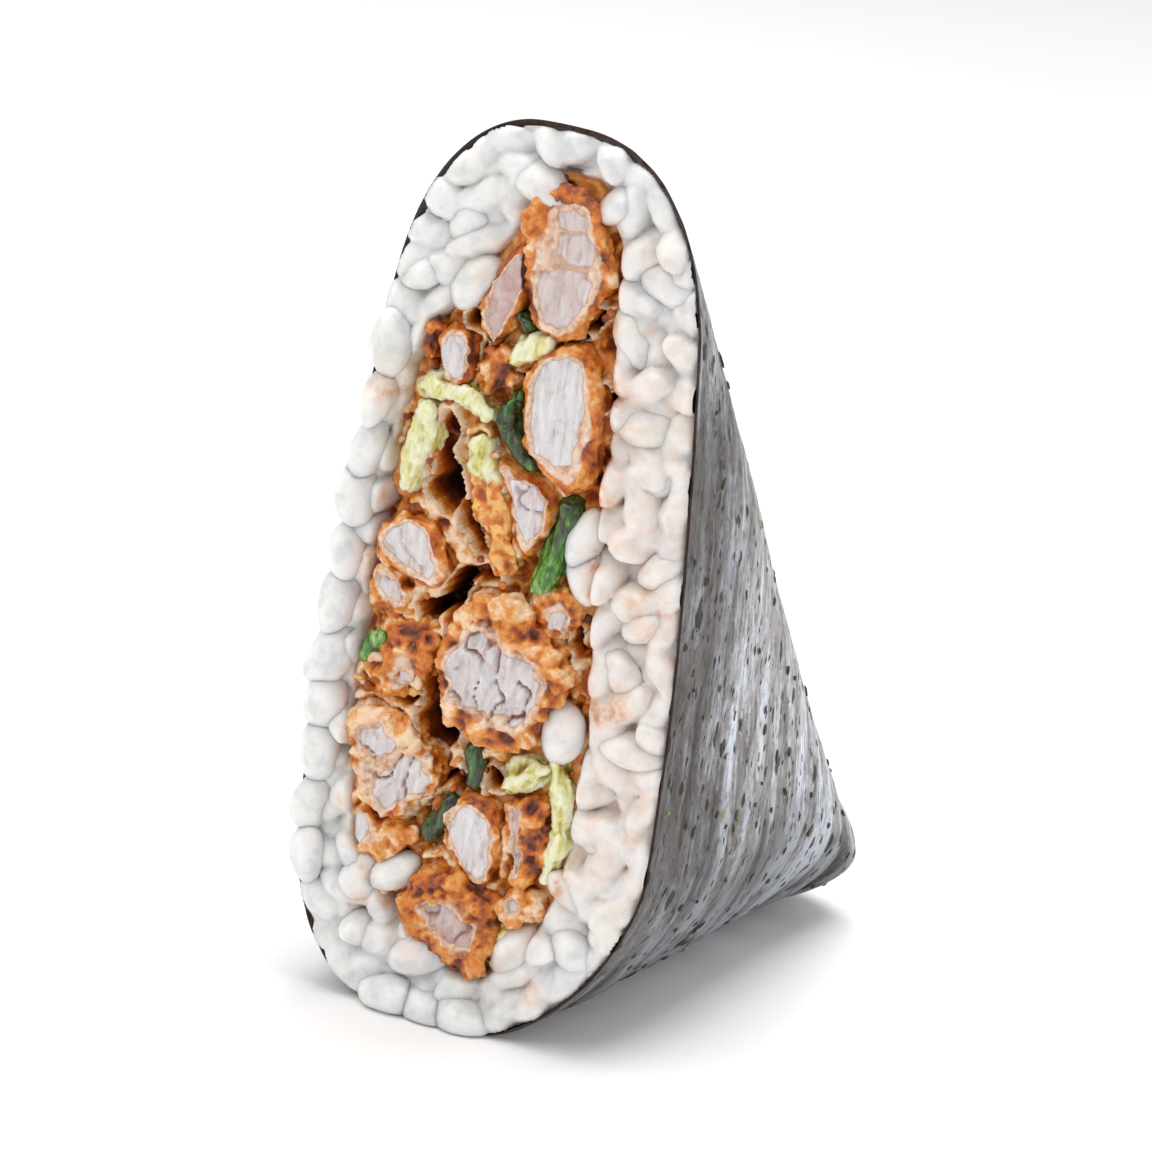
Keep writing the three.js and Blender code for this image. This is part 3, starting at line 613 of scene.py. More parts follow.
def wrinkled_seaweed():
    """The wrap, with ribs and dents from pressing, and creases that run under the base."""
    depths = np.concatenate([np.linspace(0, 40, 205), np.linspace(40, LENGTH, 60)[1:]])
    arounds = np.concatenate([np.linspace(0, 2, 280), np.linspace(2, 3, 14)[1:-1]])
    outer = body_surface(depths, arounds)
    normals = ring_normals(outer)
    steps = np.linalg.norm(np.diff(outer, axis=1, append=outer[:, :1]), axis=-1)
    arc = np.cumsum(steps, axis=1) - steps
    x, y, height = np.moveaxis(outer, -1, 0)
    over_top = arc[:, np.searchsorted(arounds, 2.0, "right") - 1][:, None]
    up = np.where(arounds <= 2, np.minimum(arc, over_top - arc), 0)
    up = up + (height - up) * smoothstep(LENGTH - 9, LENGTH - 3, y)
    across = SIDES_APART * np.tanh(x / SIDES_APART)
    drift = 2.4 * (noise(np.stack([up * 0.5, y * 0.4, across], -1), 8, 3) - 0.5)
    sheet = np.stack([up, y + drift, across], axis=-1)
    ribs = sheet * [0.08, 1, 1]
    creased = smoothstep(CREASES_BELOW, 6, height) * smoothstep(0, 6, y)
    creased *= smoothstep(LENGTH - 0.5, LENGTH - 6, y)
    creases = ridged(ribs * [1.6, 1, 1], 3.2, 2, 9) - 0.62
    # Painted light and shade of the ribs and creases, lighter on their ridges; it colours the sheet and does
    # not move it.
    painted_fold_shading = 0.55 * (fractal(ribs, 2.4, 3, 4) - 0.5) + 1.5 * creased * creases
    lift = 0.30 * (noise(sheet, 9, 1) - 0.5) + 0.30 * (fractal(ribs, 2.4, 3, 4) - 0.5)
    lift += 0.85 * creased * creases + 0.06 * (noise(sheet, 0.7, 6) - 0.5)
    settled = smoothstep(0, 1.2, height) * smoothstep(LENGTH, LENGTH - 1.5, y)
    outside = outer + normals * (lift * settled * smoothstep(-0.5, 2.5, y))[..., None]
    ragged = 0.30 * (fractal(sheet[:1], 2.0, 3, 2) - 0.5) + SHRUNK * smoothstep(-1, -5, x[:1])
    outside[..., 1] += ragged * smoothstep(2.0, 0, y)
    inside = outside[:INNER_RINGS] - normals[:INNER_RINGS] * EDGE
    # Painted shade mask: darker towards the base, near the cut, along the foot and on the wrap's inside, with
    # random unevenness; it also weakens the gloss there.
    uneven = 0.5 * (noise(sheet, 6, 15) - 0.5)
    far = smoothstep(24, 40, y)
    low = smoothstep(25, 9, height) * (1 - 0.65 * far) + 0.75 * smoothstep(12, 4, height) * far
    near = smoothstep(17, 4, y) * (1 - 0.3 * smoothstep(48, 66, height))
    dull_and_painted_shade = np.clip(np.maximum(low + near + uneven, smoothstep(4.5, 1.5, height)), 0, 1)
    inside[0, :, 1] = outside[0, :, 1] + 0.02
    count = outer.shape[1]
    first = len(depths) * count
    i = np.arange(count)
    j = (i + 1) % count
    edge = np.stack([i, j, first + j, first + i], axis=1)
    quads = [ring_faces(len(depths), count), ring_faces(INNER_RINGS, count, first)[:, ::-1], edge]
    tip = np.arange(count)[::-1] + first - count
    attributes = {
        "sheet": np.concatenate([sheet.reshape(-1, 3), sheet[:INNER_RINGS].reshape(-1, 3)]),
        "painted_fold_shading": np.concatenate([painted_fold_shading.ravel(), painted_fold_shading[:INNER_RINGS].ravel()]),
        "dull_and_painted_shade": np.concatenate([dull_and_painted_shade.ravel(), np.ones(inside.size // 3)]),
        "rim": np.concatenate([smoothstep(0.10, 0.0, y).ravel(), np.full(inside.size // 3, 0.8)]),
    }
    points = np.concatenate([outside.reshape(-1, 3), inside.reshape(-1, 3)])
    faces = [*np.concatenate(quads).tolist(), tip.tolist()]
    piece = mesh_piece("seaweed_wrap", points, faces, seaweed_material(), attributes)
    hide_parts("seaweed")
    return outside, normals


FLAKES = {"count": 190, "seed": 31, "long": (0.14, 0.55), "wide": 0.20, "thick": 0.11, "proud": 0.05}


def dried_flakes(surface, normals):
    """Small torn flakes stuck to the wrap."""
    rng = np.random.default_rng(FLAKES["seed"])
    rows = rng.integers(8, surface.shape[0] - 12, FLAKES["count"])
    columns = rng.integers(0, surface.shape[1] - 14, FLAKES["count"])
    places = surface[rows, columns] + normals[rows, columns] * FLAKES["proud"]
    shape, faces = ball(2)
    along = surface[rows, columns + 1] - surface[rows, columns]
    sizes = np.stack([
        np.full(len(rows), FLAKES["wide"]) * rng.uniform(0.6, 1.4, len(rows)),
        np.full(len(rows), FLAKES["thick"]),
        rng.uniform(*FLAKES["long"], len(rows)),
    ], axis=1)
    w = along / np.linalg.norm(along, axis=1, keepdims=True)
    v = normals[rows, columns]
    u = np.cross(v, w)
    turn = rng.uniform(-0.9, 0.9, len(rows))[:, None]
    w, u = w * np.cos(turn) + u * np.sin(turn), u * np.cos(turn) - w * np.sin(turn)
    points, all_faces = scattered(shape, faces, places, np.stack([u, v, w], axis=2), sizes)
    torn = fractal(points, 0.45, 2, 8) - 0.5
    points = points + (points - places[:, None]) * torn[..., None] * 2.4
    tone = np.repeat(rng.random(len(rows)) ** 1.5, shape.shape[0])
    points = points.reshape(-1, 3)
    points[:, 2] = np.maximum(points[:, 2], 0.02)
    mesh_piece("seaweed_flakes", points, all_faces, flake_material(), {"tone": tone})


# ---- Rice ----

GRAIN_SIZE = np.array([1.52, 1.36, 2.75])  # half across, half its flatter way, and half along
RIM_GRAINS = {"upright": 4.3, "even": 3.1, "seed": 3}
LOOSE_GRAINS = {"spacing": 4.4, "seed": 17, "tries": 4000}
FACE = {"step": 0.19, "seed": 29}
# Grains that lie in the filling's own outline: x, z, and their direction's angle on the cut face in degrees.
STRAY_GRAINS = [
    (-6.3, 11.6, 40), (-9.3, 10.2, 70), (-6.1, 61.2, 60), (5.8, 43, 80), (6.3, 40.3, 100), (6.2, 27, 95),
    (-3.2, 4.9, 20), (4.9, 8, 60),
]
# Places on the cut face where sauce has soaked into the rice: x, z, radius in millimetres and strength.
STAINS = np.array([
    (12.6, 38.5, 3.6, 0.8), (9, 40.5, 3, 0.45), (10, 30, 2.6, 0.95), (8.4, 34, 2, 0.45),
    (8.6, 46, 3.5, 0.5), (7.6, 55.5, 1.6, 0.65), (11.2, 59.5, 3, 0.5), (8.8, 60.5, 1.2, 0.55),
    (8.5, 66.5, 2.5, 0.45), (11.4, 48.5, 2.4, 0.3), (13.6, 20, 1.5, 0.85), (10.4, 24, 2.2, 0.4),
    (9.2, 13, 1.8, 0.55), (8.2, 18, 1.6, 0.45), (7, 4.8, 1.4, 0.8), (-12, 51.5, 1.8, 0.8),
    (-10.6, 49, 1.2, 0.7), (-8, 64, 1.6, 0.25), (-11.9, 36.8, 1.2, 0.5), (-11.2, 16.5, 1.2, 0.5),
    (-8.6, 8.4, 1.4, 0.8), (-4, 5.8, 2, 0.35), (2.6, 71.5, 1.4, 0.25),
])


def pocket_distance(xz):
    """How far points of the cut face lie outside the pocket, negative within it."""
    return -signed_distance(xz, POCKET_OUTLINE)[0]


def stain_at(points):
    """How strongly sauce has coloured the rice at each point."""
    xz = points[:, [0, 2]]
    near = 0.9 * np.exp(-np.abs(pocket_distance(xz)) / 0.6) * smoothstep(0.3, 0.7, noise(points, 2.2, 12))
    spots = 0.42 * smoothstep(3, 9, xz[:, 0]) * smoothstep(66, 56, xz[:, 1]) * smoothstep(6, 16, xz[:, 1])
    for x, z, radius, strength in STAINS:
        spots = np.maximum(spots, strength * np.exp(-((xz[:, 0] - x) ** 2 + (xz[:, 1] - z) ** 2) / radius**2))
    return np.clip(near + spots * (0.65 + 1.1 * (fractal(points, 3.0, 2, 21) - 0.2)), 0, 1)


def overhang_at(x, z):
    """How far the rim's grains stand out over the wrap's edge, from 0 to 1, by the place on the outline."""
    left = smoothstep(-5, -10, x) * smoothstep(61, 55, z) * smoothstep(6, 11, z)
    below = smoothstep(2.5, 0.5, z) * smoothstep(-7, -4.5, x) * smoothstep(3.5, 1.5, x)
    return np.maximum(left, below)


def rim_places(rng):
    """Grains all round the edge of the cut: their places, how far they overhang, and which way they point."""
    outline = body_surface([0.0], np.linspace(0, 3, 1501))[0][:, [0, 2]]
    steps = np.linalg.norm(np.diff(outline, axis=0), axis=1)
    run = np.concatenate([[0], np.cumsum(steps)])

    def spot(at):
        """Points that far along the outline."""
        return np.stack([np.interp(at, run, outline[:, k]) for k in range(2)], -1)

    stations = []
    at = 0.0
    while at < run[-1]:
        stations.append(at)
        x, z = spot(at)
        at += RIM_GRAINS["even"] + (RIM_GRAINS["upright"] - RIM_GRAINS["even"]) * overhang_at(x, z) * (z > 4)
        at += rng.uniform(-0.3, 0.3)
    stations = np.array(stations)
    x, z = spot(stations).T
    tangent = spot(stations + 0.5) - spot(stations - 0.5)
    inward = signed_distance(spot(stations), CUT_OUTLINE)[1]
    proud = overhang_at(x, z)
    inset = 1.15 + rng.uniform(-0.1, 0.15, len(x)) + 0.25 * smoothstep(8, 3, z) * (1 - proud)
    y = 1.1 - 1.1 * proud + rng.uniform(-0.15, 0.2, len(x))
    places = np.stack([x + inward[:, 0] * inset, y, z + inward[:, 1] * inset], 1)
    loose = rng.normal(0, 1, (len(x), 3)) * [0.8, 0.9, 0.8]
    upright = np.stack([tangent[:, 0], rng.normal(0, 0.25, len(x)), tangent[:, 1]], 1)
    ways = loose + (upright + 0.15 * loose - loose) * proud[:, None]
    return places, proud, ways


def fill_places(rng, spacing, tries, taken, depth, margins):
    """Places for more grains wherever there is room beside those already placed."""
    xz = np.stack([rng.uniform(-HALF_WIDTH, HALF_WIDTH, tries), rng.uniform(0, HEIGHT, tries)], 1)
    room = (signed_distance(xz, CUT_OUTLINE)[0] > margins[0]) & (pocket_distance(xz) > margins[1])
    placed = [*taken]
    fresh = []
    for spot in xz[room]:
        gaps = np.array(placed) - spot if placed else np.array([[99.0, 99.0]])
        if (gaps**2).sum(1).min() >= spacing**2:
            placed.append(spot)
            fresh.append((spot[0], rng.uniform(*depth), spot[1]))
    return np.array(fresh)


def grain_mesh(name, places, ways, rng, material, plump=1.0):
    """Cooked grains: plump, blunt at the ends and a little bent, each turned its own way."""
    shape, faces = ball(3)
    shape = shape * GRAIN_SIZE
    shape[:, :2] *= 1 + 0.10 * (1 - (shape[:, 2:] / GRAIN_SIZE[2]) ** 2)
    shape[:, 0] += 0.055 * shape[:, 2] ** 2 - 0.2
    count = len(places)
    turns = frames_towards(ways, rng.uniform(0, 2 * np.pi, count))
    size = plump * rng.uniform(0.9, 1.08, (count, 1)) * rng.uniform(0.94, 1.06, (count, 3))
    points, all_faces = scattered(shape, faces, places, turns, size)
    centre = places[:, None, :]
    swell = 0.20 * (noise(points, 1.9, 2) - 0.5) + 0.09 * (noise(points, 0.8, 5) - 0.5)
    points = centre + (points - centre) * (1 + swell[..., None])
    facing = np.abs(points[..., 1] - centre[..., 1]) / 1.5
    # The grains' sides, as the cut shows them, are marked for painted blue-grey shade.
    edge = 1.5 * smoothstep(0.85, 0.15, facing) * (points[..., 1] < centre[..., 1] + 0.6)
    points = points.reshape(-1, 3)
    points = keep_inside(points, EDGE + 0.08)
    points[:, 2] = np.maximum(points[:, 2], 0.12)
    attributes = {"edge": edge.ravel(), "stain": stain_at(points)}
    return mesh_piece(name, points, all_faces, material, attributes)


def pressed_face(xz, centres, turns, sizes, blend):
    """The front of grains pressed together, softer where blend is low: its depth, and how near an edge."""
    shapes = np.einsum("nij,nj,nkj->nik", turns, 1 / sizes**2, turns)
    depth = np.empty(len(xz))
    edge = np.empty(len(xz))
    for start in range(0, len(xz), CHUNK):
        part = slice(start, start + CHUNK)
        p = xz[part]
        dx = p[:, None, 0] - centres[None, :, 0]
        dz = p[:, None, 1] - centres[None, :, 2]
        a = shapes[:, 1, 1][None]
        b = shapes[:, 0, 1] * dx + shapes[:, 1, 2] * dz
        c = shapes[:, 0, 0] * dx**2 + 2 * shapes[:, 0, 2] * dx * dz + shapes[:, 2, 2] * dz**2
        inside = b**2 - a * (c - 1)
        root = np.where(inside > 0, np.sqrt(np.maximum(inside, 0)), -3 * np.sqrt(np.maximum(-inside, 0)))
        front = centres[None, :, 1] - (b + root) / a
        lowest = front.min(1, keepdims=True)
        firm = blend[part]
        weight = np.exp(-firm[:, None] * (front - lowest))
        total = weight.sum(1)
        depth[part] = lowest[:, 0] - np.log(total) / firm
        fullness = np.clip(root / np.sqrt(a), 0, 1)
        edge[part] = 1 - (weight * fullness).sum(1) / total
    return depth, edge


def rice_face(material, row, rng):
    """The rice that the knife cut: grains pressed together, soft on the right and looser on the left."""
    front = np.concatenate([row, fill_places(rng, 2.75, 9000, row[:, [0, 2]], (0.85, 1.3), (0.9, 0.3))])
    middle = fill_places(rng, 2.5, 9000, [], (1.7, 2.3), (0.4, -0.6))
    centres = np.concatenate([front, middle])
    ways = rng.normal(0, 1, (len(centres), 3)) * [1, 0.45, 1]
    turns = frames_towards(ways, rng.uniform(0, 2 * np.pi, len(centres)))
    sizes = GRAIN_SIZE * rng.uniform(0.9, 1.12, (len(centres), 3))
    xz, flat, grid = cut_grid((-HALF_WIDTH, HALF_WIDTH), (0.4, HEIGHT), FACE["step"])
    distance, inward = signed_distance(xz, CUT_OUTLINE)
    gap = pocket_distance(xz)
    keep = (distance > EDGE - 0.12) & (gap > -2.0)
    chosen = np.flatnonzero(keep)
    wobble = 0.55 * (np.stack([noise(flat, 1.5, 71), noise(flat, 1.5, 77)], 1) - 0.5)
    y = np.full(len(xz), 3.0)
    edge = np.zeros(len(xz))
    soft = smoothstep(4, 9, xz[:, 0]) * smoothstep(66, 58, xz[:, 1])
    blend = 7.0 - 4.2 * soft
    y[chosen], edge[chosen] = pressed_face((xz + wobble)[chosen], centres, turns, sizes, blend[chosen])
    y += 0.24 * (noise(flat, 1.3, 4) - 0.5) + 0.12 * (noise(flat, 0.55, 6) - 0.5)
    y -= 0.35 * (ridged(flat, 2.1, 2, 8) - 0.7)
    y = np.where(y < -0.25, -0.25 + (y + 0.25) * 0.7, y)
    y = np.minimum(y, 0.55 + 1.2 * smoothstep(0.4, 2.2, distance))
    y += 0.25 * smoothstep(0.7, 0.3, distance) + smoothstep(0.4, -1.6, gap) * 6
    y = np.minimum(y, np.maximum(room_behind(xz[:, 1]), 0.2))
    xz += inward * np.maximum(EDGE + 0.02 - distance, 0)[:, None]
    points = keep_inside(np.stack([xz[:, 0], y, xz[:, 1]], 1), EDGE + 0.02)
    faces = grid_faces(*grid, keep)
    # The edge values mark painted shade in the creases between pressed grains, weaker on the soft right.
    points, faces, attributes = used_only(points, faces, {"edge": edge * (1 - 0.7 * soft)})
    attributes["stain"] = stain_at(points)
    mesh_piece("rice_face", points, faces, material, attributes)


def rice_body(material):
    """The rice that fills the wrap behind the cut."""
    depths = np.linspace(4.2, LENGTH - 2.5, 12)
    body = body_surface(depths, np.linspace(0, 3, 61)[:-1])
    body = body - ring_normals(body) * (SHEET + 0.25)
    around = body.shape[1]
    points = body.reshape(-1, 3)
    cap = range(len(points) - 1, len(points) - around - 1, -1)
    faces = [*ring_faces(len(depths), around).tolist(), list(cap)]
    # An even, light share of the painted edge shade.
    attributes = {"edge": np.full(len(points), 0.25), "stain": np.zeros(len(points))}
    piece = mesh_piece("rice_body", points, faces, material, attributes)
    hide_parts("rice")


def rice():
    material = rice_material()
    rng = np.random.default_rng(RIM_GRAINS["seed"])
    rim, proud, ways = rim_places(rng)
    over = proud > 0.5
    grain_mesh("rice_grains_rim", rim[over], ways[over], rng, material, 1.08)
    angles = np.radians([angle for _, _, angle in STRAY_GRAINS])
    stray = np.array([(x, 0.7, z) for x, z, _ in STRAY_GRAINS])
    stray_ways = np.stack([np.cos(angles), np.full(len(angles), 0.15), np.sin(angles)], 1)
    rng = np.random.default_rng(LOOSE_GRAINS["seed"])
    taken = np.concatenate([rim[over], stray])[:, [0, 2]]
    loose = fill_places(rng, LOOSE_GRAINS["spacing"], LOOSE_GRAINS["tries"], taken, (0.7, 1.2), (2.0, 0.7))
    loose_ways = rng.normal(0, 1, (len(loose), 3)) * [1, 0.3, 1]
    places, ways = np.concatenate([stray, loose]), np.concatenate([stray_ways, loose_ways])
    grain_mesh("rice_grains_loose", places, ways, rng, material)
    rice_face(material, rim[~over], np.random.default_rng(FACE["seed"]))
    rice_body(material)


# ---- Filling ----

# Hollows between the pieces: x, z, half sizes across and up, lean in degrees, and depth.
HOLLOWS = [
    (-6.3, 44.9, 1, 2.2, 12, 5), (-6.7, 48.2, 0.8, 1.8, 0, 2.5), (-3.7, 41.6, 0.6, 1.9, 35, 4),
    (-5.9, 34, 1.5, 1, 10, 5), (-4.3, 36, 0.7, 1.9, -25, 5), (-2.2, 38, 1.1, 0.7, 0, 2.5),
    (-9, 31, 0.8, 1, 0, 2.2), (-5.7, 31.2, 0.7, 1.3, 0, 2.5), (-5, 28.4, 1, 2.6, 10, 3.2),
    (-9.9, 28, 1.1, 0.8, 0, 2.4), (-7.3, 26.6, 0.9, 0.8, 0, 2.2), (-4.4, 24.2, 1.2, 1.7, 20, 5),
    (-3, 21.3, 1, 1.2, 30, 5), (-1.4, 20.6, 1.4, 0.7, -35, 4), (1.2, 21.6, 0.8, 0.7, 0, 4.5),
    (-3.6, 18.5, 2.2, 0.4, -42, 3), (4.9, 38, 0.5, 0.9, 0, 3), (6.2, 34.9, 0.5, 1.4, 8, 2.6),
    (1.9, 35.7, 0.35, 0.35, 0, 3), (4.6, 28.9, 0.5, 0.5, 0, 2.6), (-2.3, 47, 0.4, 1.2, 20, 3),
    (5.6, 54.2, 0.6, 0.8, 0, 2.8), (3.9, 60.4, 0.5, 1.1, -35, 3.4), (3, 58.7, 0.9, 0.3, 20, 3),
    (-5.6, 58.4, 0.7, 0.7, 0, 2.8), (-4.8, 54.4, 0.3, 1.8, 0, 3), (-1.2, 53.9, 0.9, 0.6, 0, 2.6),
    (0.1, 50.6, 0.3, 0.9, 20, 2.6), (-8.5, 8.9, 1, 0.9, 20, 2.4), (3, 9.2, 0.3, 1.6, 0, 2.8),
]
# Crests that bridge the gaps: half width, depth behind the cut, and their line as x and z in turn.
BRIDGES = [
    (0.75, 0.7, [-8.2, 42.6, -6.4, 41.4, -4.8, 40, -3.9, 38.9]),
    (0.45, 0.3, [-4.2, 38.7, -2.2, 39.2, 0.4, 38.9]),
    (0.4, 0.2, [-5.3, 36.3, -7.4, 35.7, -7.9, 34.3, -7.1, 32.7, -5.5, 32.7, -4.7, 33.9]),
    (0.6, 0.5, [-7.3, 32.6, -7.1, 31, -6.8, 29.4, -6.6, 27.7]),
    (0.35, 0.1, [-11.3, 27.3, -10.7, 28.9, -9.5, 29.2, -8.4, 28.3, -8.8, 27, -10.1, 26.5, -11.3, 27.3]),
    (0.35, 0.3, [-10, 32.4, -8, 32.4, -7.7, 30.8, -8.4, 29.6]),
    (0.55, 0.8, [-2.5, 20, -4.3, 18.5, -6, 16.9]),
    (0.6, 0.5, [-3.8, 14, -2.3, 14.5, -1, 13.4, 0.8, 12.8, 2.5, 12.7]),
    (0.45, 0.4, [2.9, 18.6, 2.9, 16.2, 3.3, 13.6]),
    (0.5, 0.3, [-10.6, 16.6, -9.8, 18, -9, 17]),
    (0.7, 0.5, [1.2, 24, 0.2, 23.7]),
    (0.8, 0.9, [-2.3, 22.3, -2, 22.8]),
    (0.6, 1.4, [-2.8, 25, -2.2, 24.4]),
    (0.5, 0.3, [-11.4, 25.4, -10.2, 25.9, -8.6, 25.6, -6.7, 25.2]),
    (0.4, 0.3, [-4.6, 49.5, -3.4, 49.7, -2.7, 48.9]),
    (0.45, 0.4, [2.6, 47, 3.3, 46.2, 4.4, 46.8]),
    (0.45, 0.4, [-0.4, 45.5, -0.6, 43.6, 0.3, 41.4, 0.9, 40]),
]


BED_STEP = 0.18  # the crumb bed's point spacing


def saucy_filling():
    """Sauce and crumb that fill the pocket between the pieces, with deep hollows and crests over them."""
    xz, flat, grid = cut_grid((-12.8, 9.6), (3.4, 72.4), BED_STEP)
    lumps = fractal(flat, 1.8, 4, 14)
    strands = ridged(flat, 1.9, 3, 33)
    y = 1.9 - 2.8 * (lumps - 0.45) - 2.4 * (strands - 0.6) - 1.0 * (fractal(flat, 0.9, 3, 53) - 0.5)
    warped = xz + 1.3 * (np.stack([fractal(flat, 1.4, 2, 41), fractal(flat, 1.4, 2, 47)], 1) - 0.5)
    lips = np.zeros(len(xz))
    for cx, cz, across, up, lean, depth in HOLLOWS:
        c, s = math.cos(math.radians(lean)), math.sin(math.radians(lean))
        dx, dz = warped[:, 0] - cx, warped[:, 1] - cz
        r = np.hypot((dx * c + dz * s) / across, (dz * c - dx * s) / up)
        y = np.maximum(y, 1.2 + depth * smoothstep(1.45, 0.55, r))
        lip = np.exp(-(((r - 1.55) / 0.28) ** 2)) * smoothstep(0.5, 0.75, strands)
        lips = np.maximum(lips, lip)
    y -= 1.3 * lips
    # Painted light: the crest makes the crumb paler where it stands nearest the cut and on the lips round the
    # hollows.
    crest = smoothstep(2.6, 0.6, y) + 0.22 * lips
    for half, front, line in BRIDGES:
        away = polyline_distance(warped, np.reshape(line, (-1, 2))) + 0.5 * (lumps - 0.5)
        near = smoothstep(half * 1.5, half * 0.35, away)
        y = y + (front - 2.4 * (lumps - 0.5) - 1.2 * (strands - 0.6) - y) * near
        crest = np.maximum(crest, near * (0.45 + 1.6 * (strands - 0.5)))
    y = np.clip(y, 0.1, 6.5)
    gap = pocket_distance(xz)
    y = np.minimum(y + smoothstep(-0.3, 0.8, gap) * 1.4, room_behind(xz[:, 1]))
    # Painted shade: deep darkens the crumb the further it lies behind the cut.
    deep = smoothstep(2.0, 4.6, y)
    points = np.stack([xz[:, 0], y, xz[:, 1]], 1)
    faces = grid_faces(*grid, gap < 0.9)
    points, faces, attributes = used_only(points, faces, {"deep": deep, "crest": crest - 0.35})
    piece = mesh_piece("filling_crumb", points, faces, filling_material(), attributes)
    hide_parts("filling")
    return points


# Each piece of chicken by its number: the share of its rim that is pale batter, how rough its crust is, how
# rosy its meat is, how pale or dark its crust is, and how torn its meat is.
CHICKEN = {
    1: (0.62, 0.8, 0.35, 0, 0.2), 2: (0.25, 0.6, 1, -0.05, 0.2), 3: (0.55, 0.7, 0, 0, 0.1),
    4: (0.5, 0.7, 0.1, 0, 0.2), 5: (0, 1.5, 0, 0, 0), 6: (0.6, 0.7, 0.1, 0.02, 0.6),
    7: (0.55, 0.8, 0.1, 0.02, 0.3), 8: (0.35, 1.1, 0.3, 0.02, 0.5), 9: (0.35, 1.5, 0.15, -0.04, 1),
    10: (0.4, 1.3, 0.4, 0.02, 0.5), 11: (0.5, 1.5, 0.1, 0.05, 0.9), 12: (0.45, 0.9, 0, 0.02, 0.2),
    13: (0.15, 1.4, 0.5, -0.06, 0.4), 14: (0.5, 1.1, 0, 0, 0.3), 15: (0.15, 1.6, 0.9, -0.12, 0.8),
    16: (0.3, 1.6, 0.3, 0, 0.5), 17: (0, 1.2, 0, -0.1, 0), 18: (0.3, 1.6, 0.4, -0.06, 0.6),
}
# Outlines of the meat that the cut lays bare in each piece, as x and z in turn, anticlockwise.
MEAT = {
    1: [
        [0.4, 59.5, 1.6, 59.3, 2.7, 60, 3.3, 61.6, 3.7, 63.2, 2.9, 63.9, 1.1, 64, -0.3, 63.4, -0.5, 62.2,
            -0.2, 60.7],
        [0.4, 65, 1.8, 64.4, 3.4, 64.8, 3.4, 66.2, 2.5, 66.9, 0.7, 66.6],
        [0.5, 67.2, 1.5, 67, 2.5, 67.4, 2.7, 68.2, 1.5, 68.6, 0.2, 68.2],
    ],
    2: [[-3.9, 57, -3.2, 58.2, -2.6, 60.2, -2, 62.3, -2.3, 64.4, -3.3, 63.6, -4.2, 61.8, -4.6, 60.2,
        -4.7, 58.4]],
    3: [[1.1, 49.1, 2.9, 48.6, 4.3, 48.9, 4.4, 51.2, 4.5, 53.5, 4.3, 55.7, 3.8, 57, 2.7, 57.3, 0.8, 56.2,
        0.3, 54.6, 0.3, 52.4, 0.6, 50.3]],
    4: [[-6.4, 53.3, -5.7, 54.2, -5.8, 55.9, -6.5, 56.9, -7.4, 56.8, -8, 55.5, -7.6, 54.2]],
    6: [[1.5, 41.2, 2, 42.6, 2.4, 44.2, 2.2, 45.4, 1.3, 46.1, -0.4, 46.7, -1.5, 47.3, -0.6, 45.2, 0, 43.6,
        0.6, 42.3]],
    7: [[-6.3, 36.9, -5.9, 38, -6.6, 39.6, -7.4, 40.7, -8.8, 40.9, -10, 40.2, -10.5, 39, -9.9, 38.1,
        -8.6, 37.6, -7.4, 37.1]],
    8: [[-9.9, 34.5, -8.7, 34.2, -8.3, 35, -9.2, 35.9, -10.5, 36.1, -10.7, 35.3]],
    9: [[1.1, 27.3, 2.5, 27.3, 3.4, 28.2, 3.8, 29.5, 4, 30.7, 3.4, 31.8, 1.5, 32.7, 0, 33.2, -1.2, 34.1,
        -2.3, 33.4, -2.8, 32.5, -3.3, 31.1, -3.4, 29.6, -2.9, 28.2, -1.6, 27.6, -0.4, 27.7]],
    10: [[4.2, 35.4, 5.3, 35.5, 5.6, 36.6, 4.9, 37.1, 4, 36.6]],
    11: [
        [-8.6, 21.6, -7.3, 21.8, -7.1, 22.7, -8.5, 23.4, -10, 22.9, -9.9, 22],
        [-7.3, 17.1, -6, 18, -4.7, 19.4, -3.7, 20.4, -4.6, 21.9, -6.2, 22.1, -7.3, 20.6, -8.6, 19.6,
            -8.7, 18.2],
    ],
    12: [[0.3, 13.6, 1.6, 13.4, 2.1, 14.7, 1.9, 16.6, 1.5, 17.9, 0.5, 19, -0.6, 19.1, -1.4, 18.2,
        -1.8, 17.1, -1.4, 15.9, -0.5, 14.8]],
    13: [[4.5, 14.6, 4.5, 16.2, 4.1, 18, 3.9, 19.8, 3.3, 19.7, 3.5, 18, 3.8, 16.4, 4.1, 14.8]],
    14: [[-9.4, 13.4, -8.7, 14.4, -9, 15.9, -9.8, 15.9, -10.2, 14.8, -9.9, 13.6]],
    15: [[-0.9, 7.7, 0.6, 6.9, 1.7, 7.4, 2, 9.3, 0.6, 9.8, -1.2, 10.2, -3.2, 10, -2.3, 8.6]],
    16: [[4.4, 11.4, 5.1, 11.6, 4.9, 12.3, 4.2, 12.1]],
    18: [[-8, 27.2, -7, 27.4, -6.6, 28.2, -7.6, 28.7, -8.2, 28]],
}
VOXEL = 0.17  # the refined skins' point spacing
MOST_PROUD = 1.4  # how far a piece may stand out of the cut


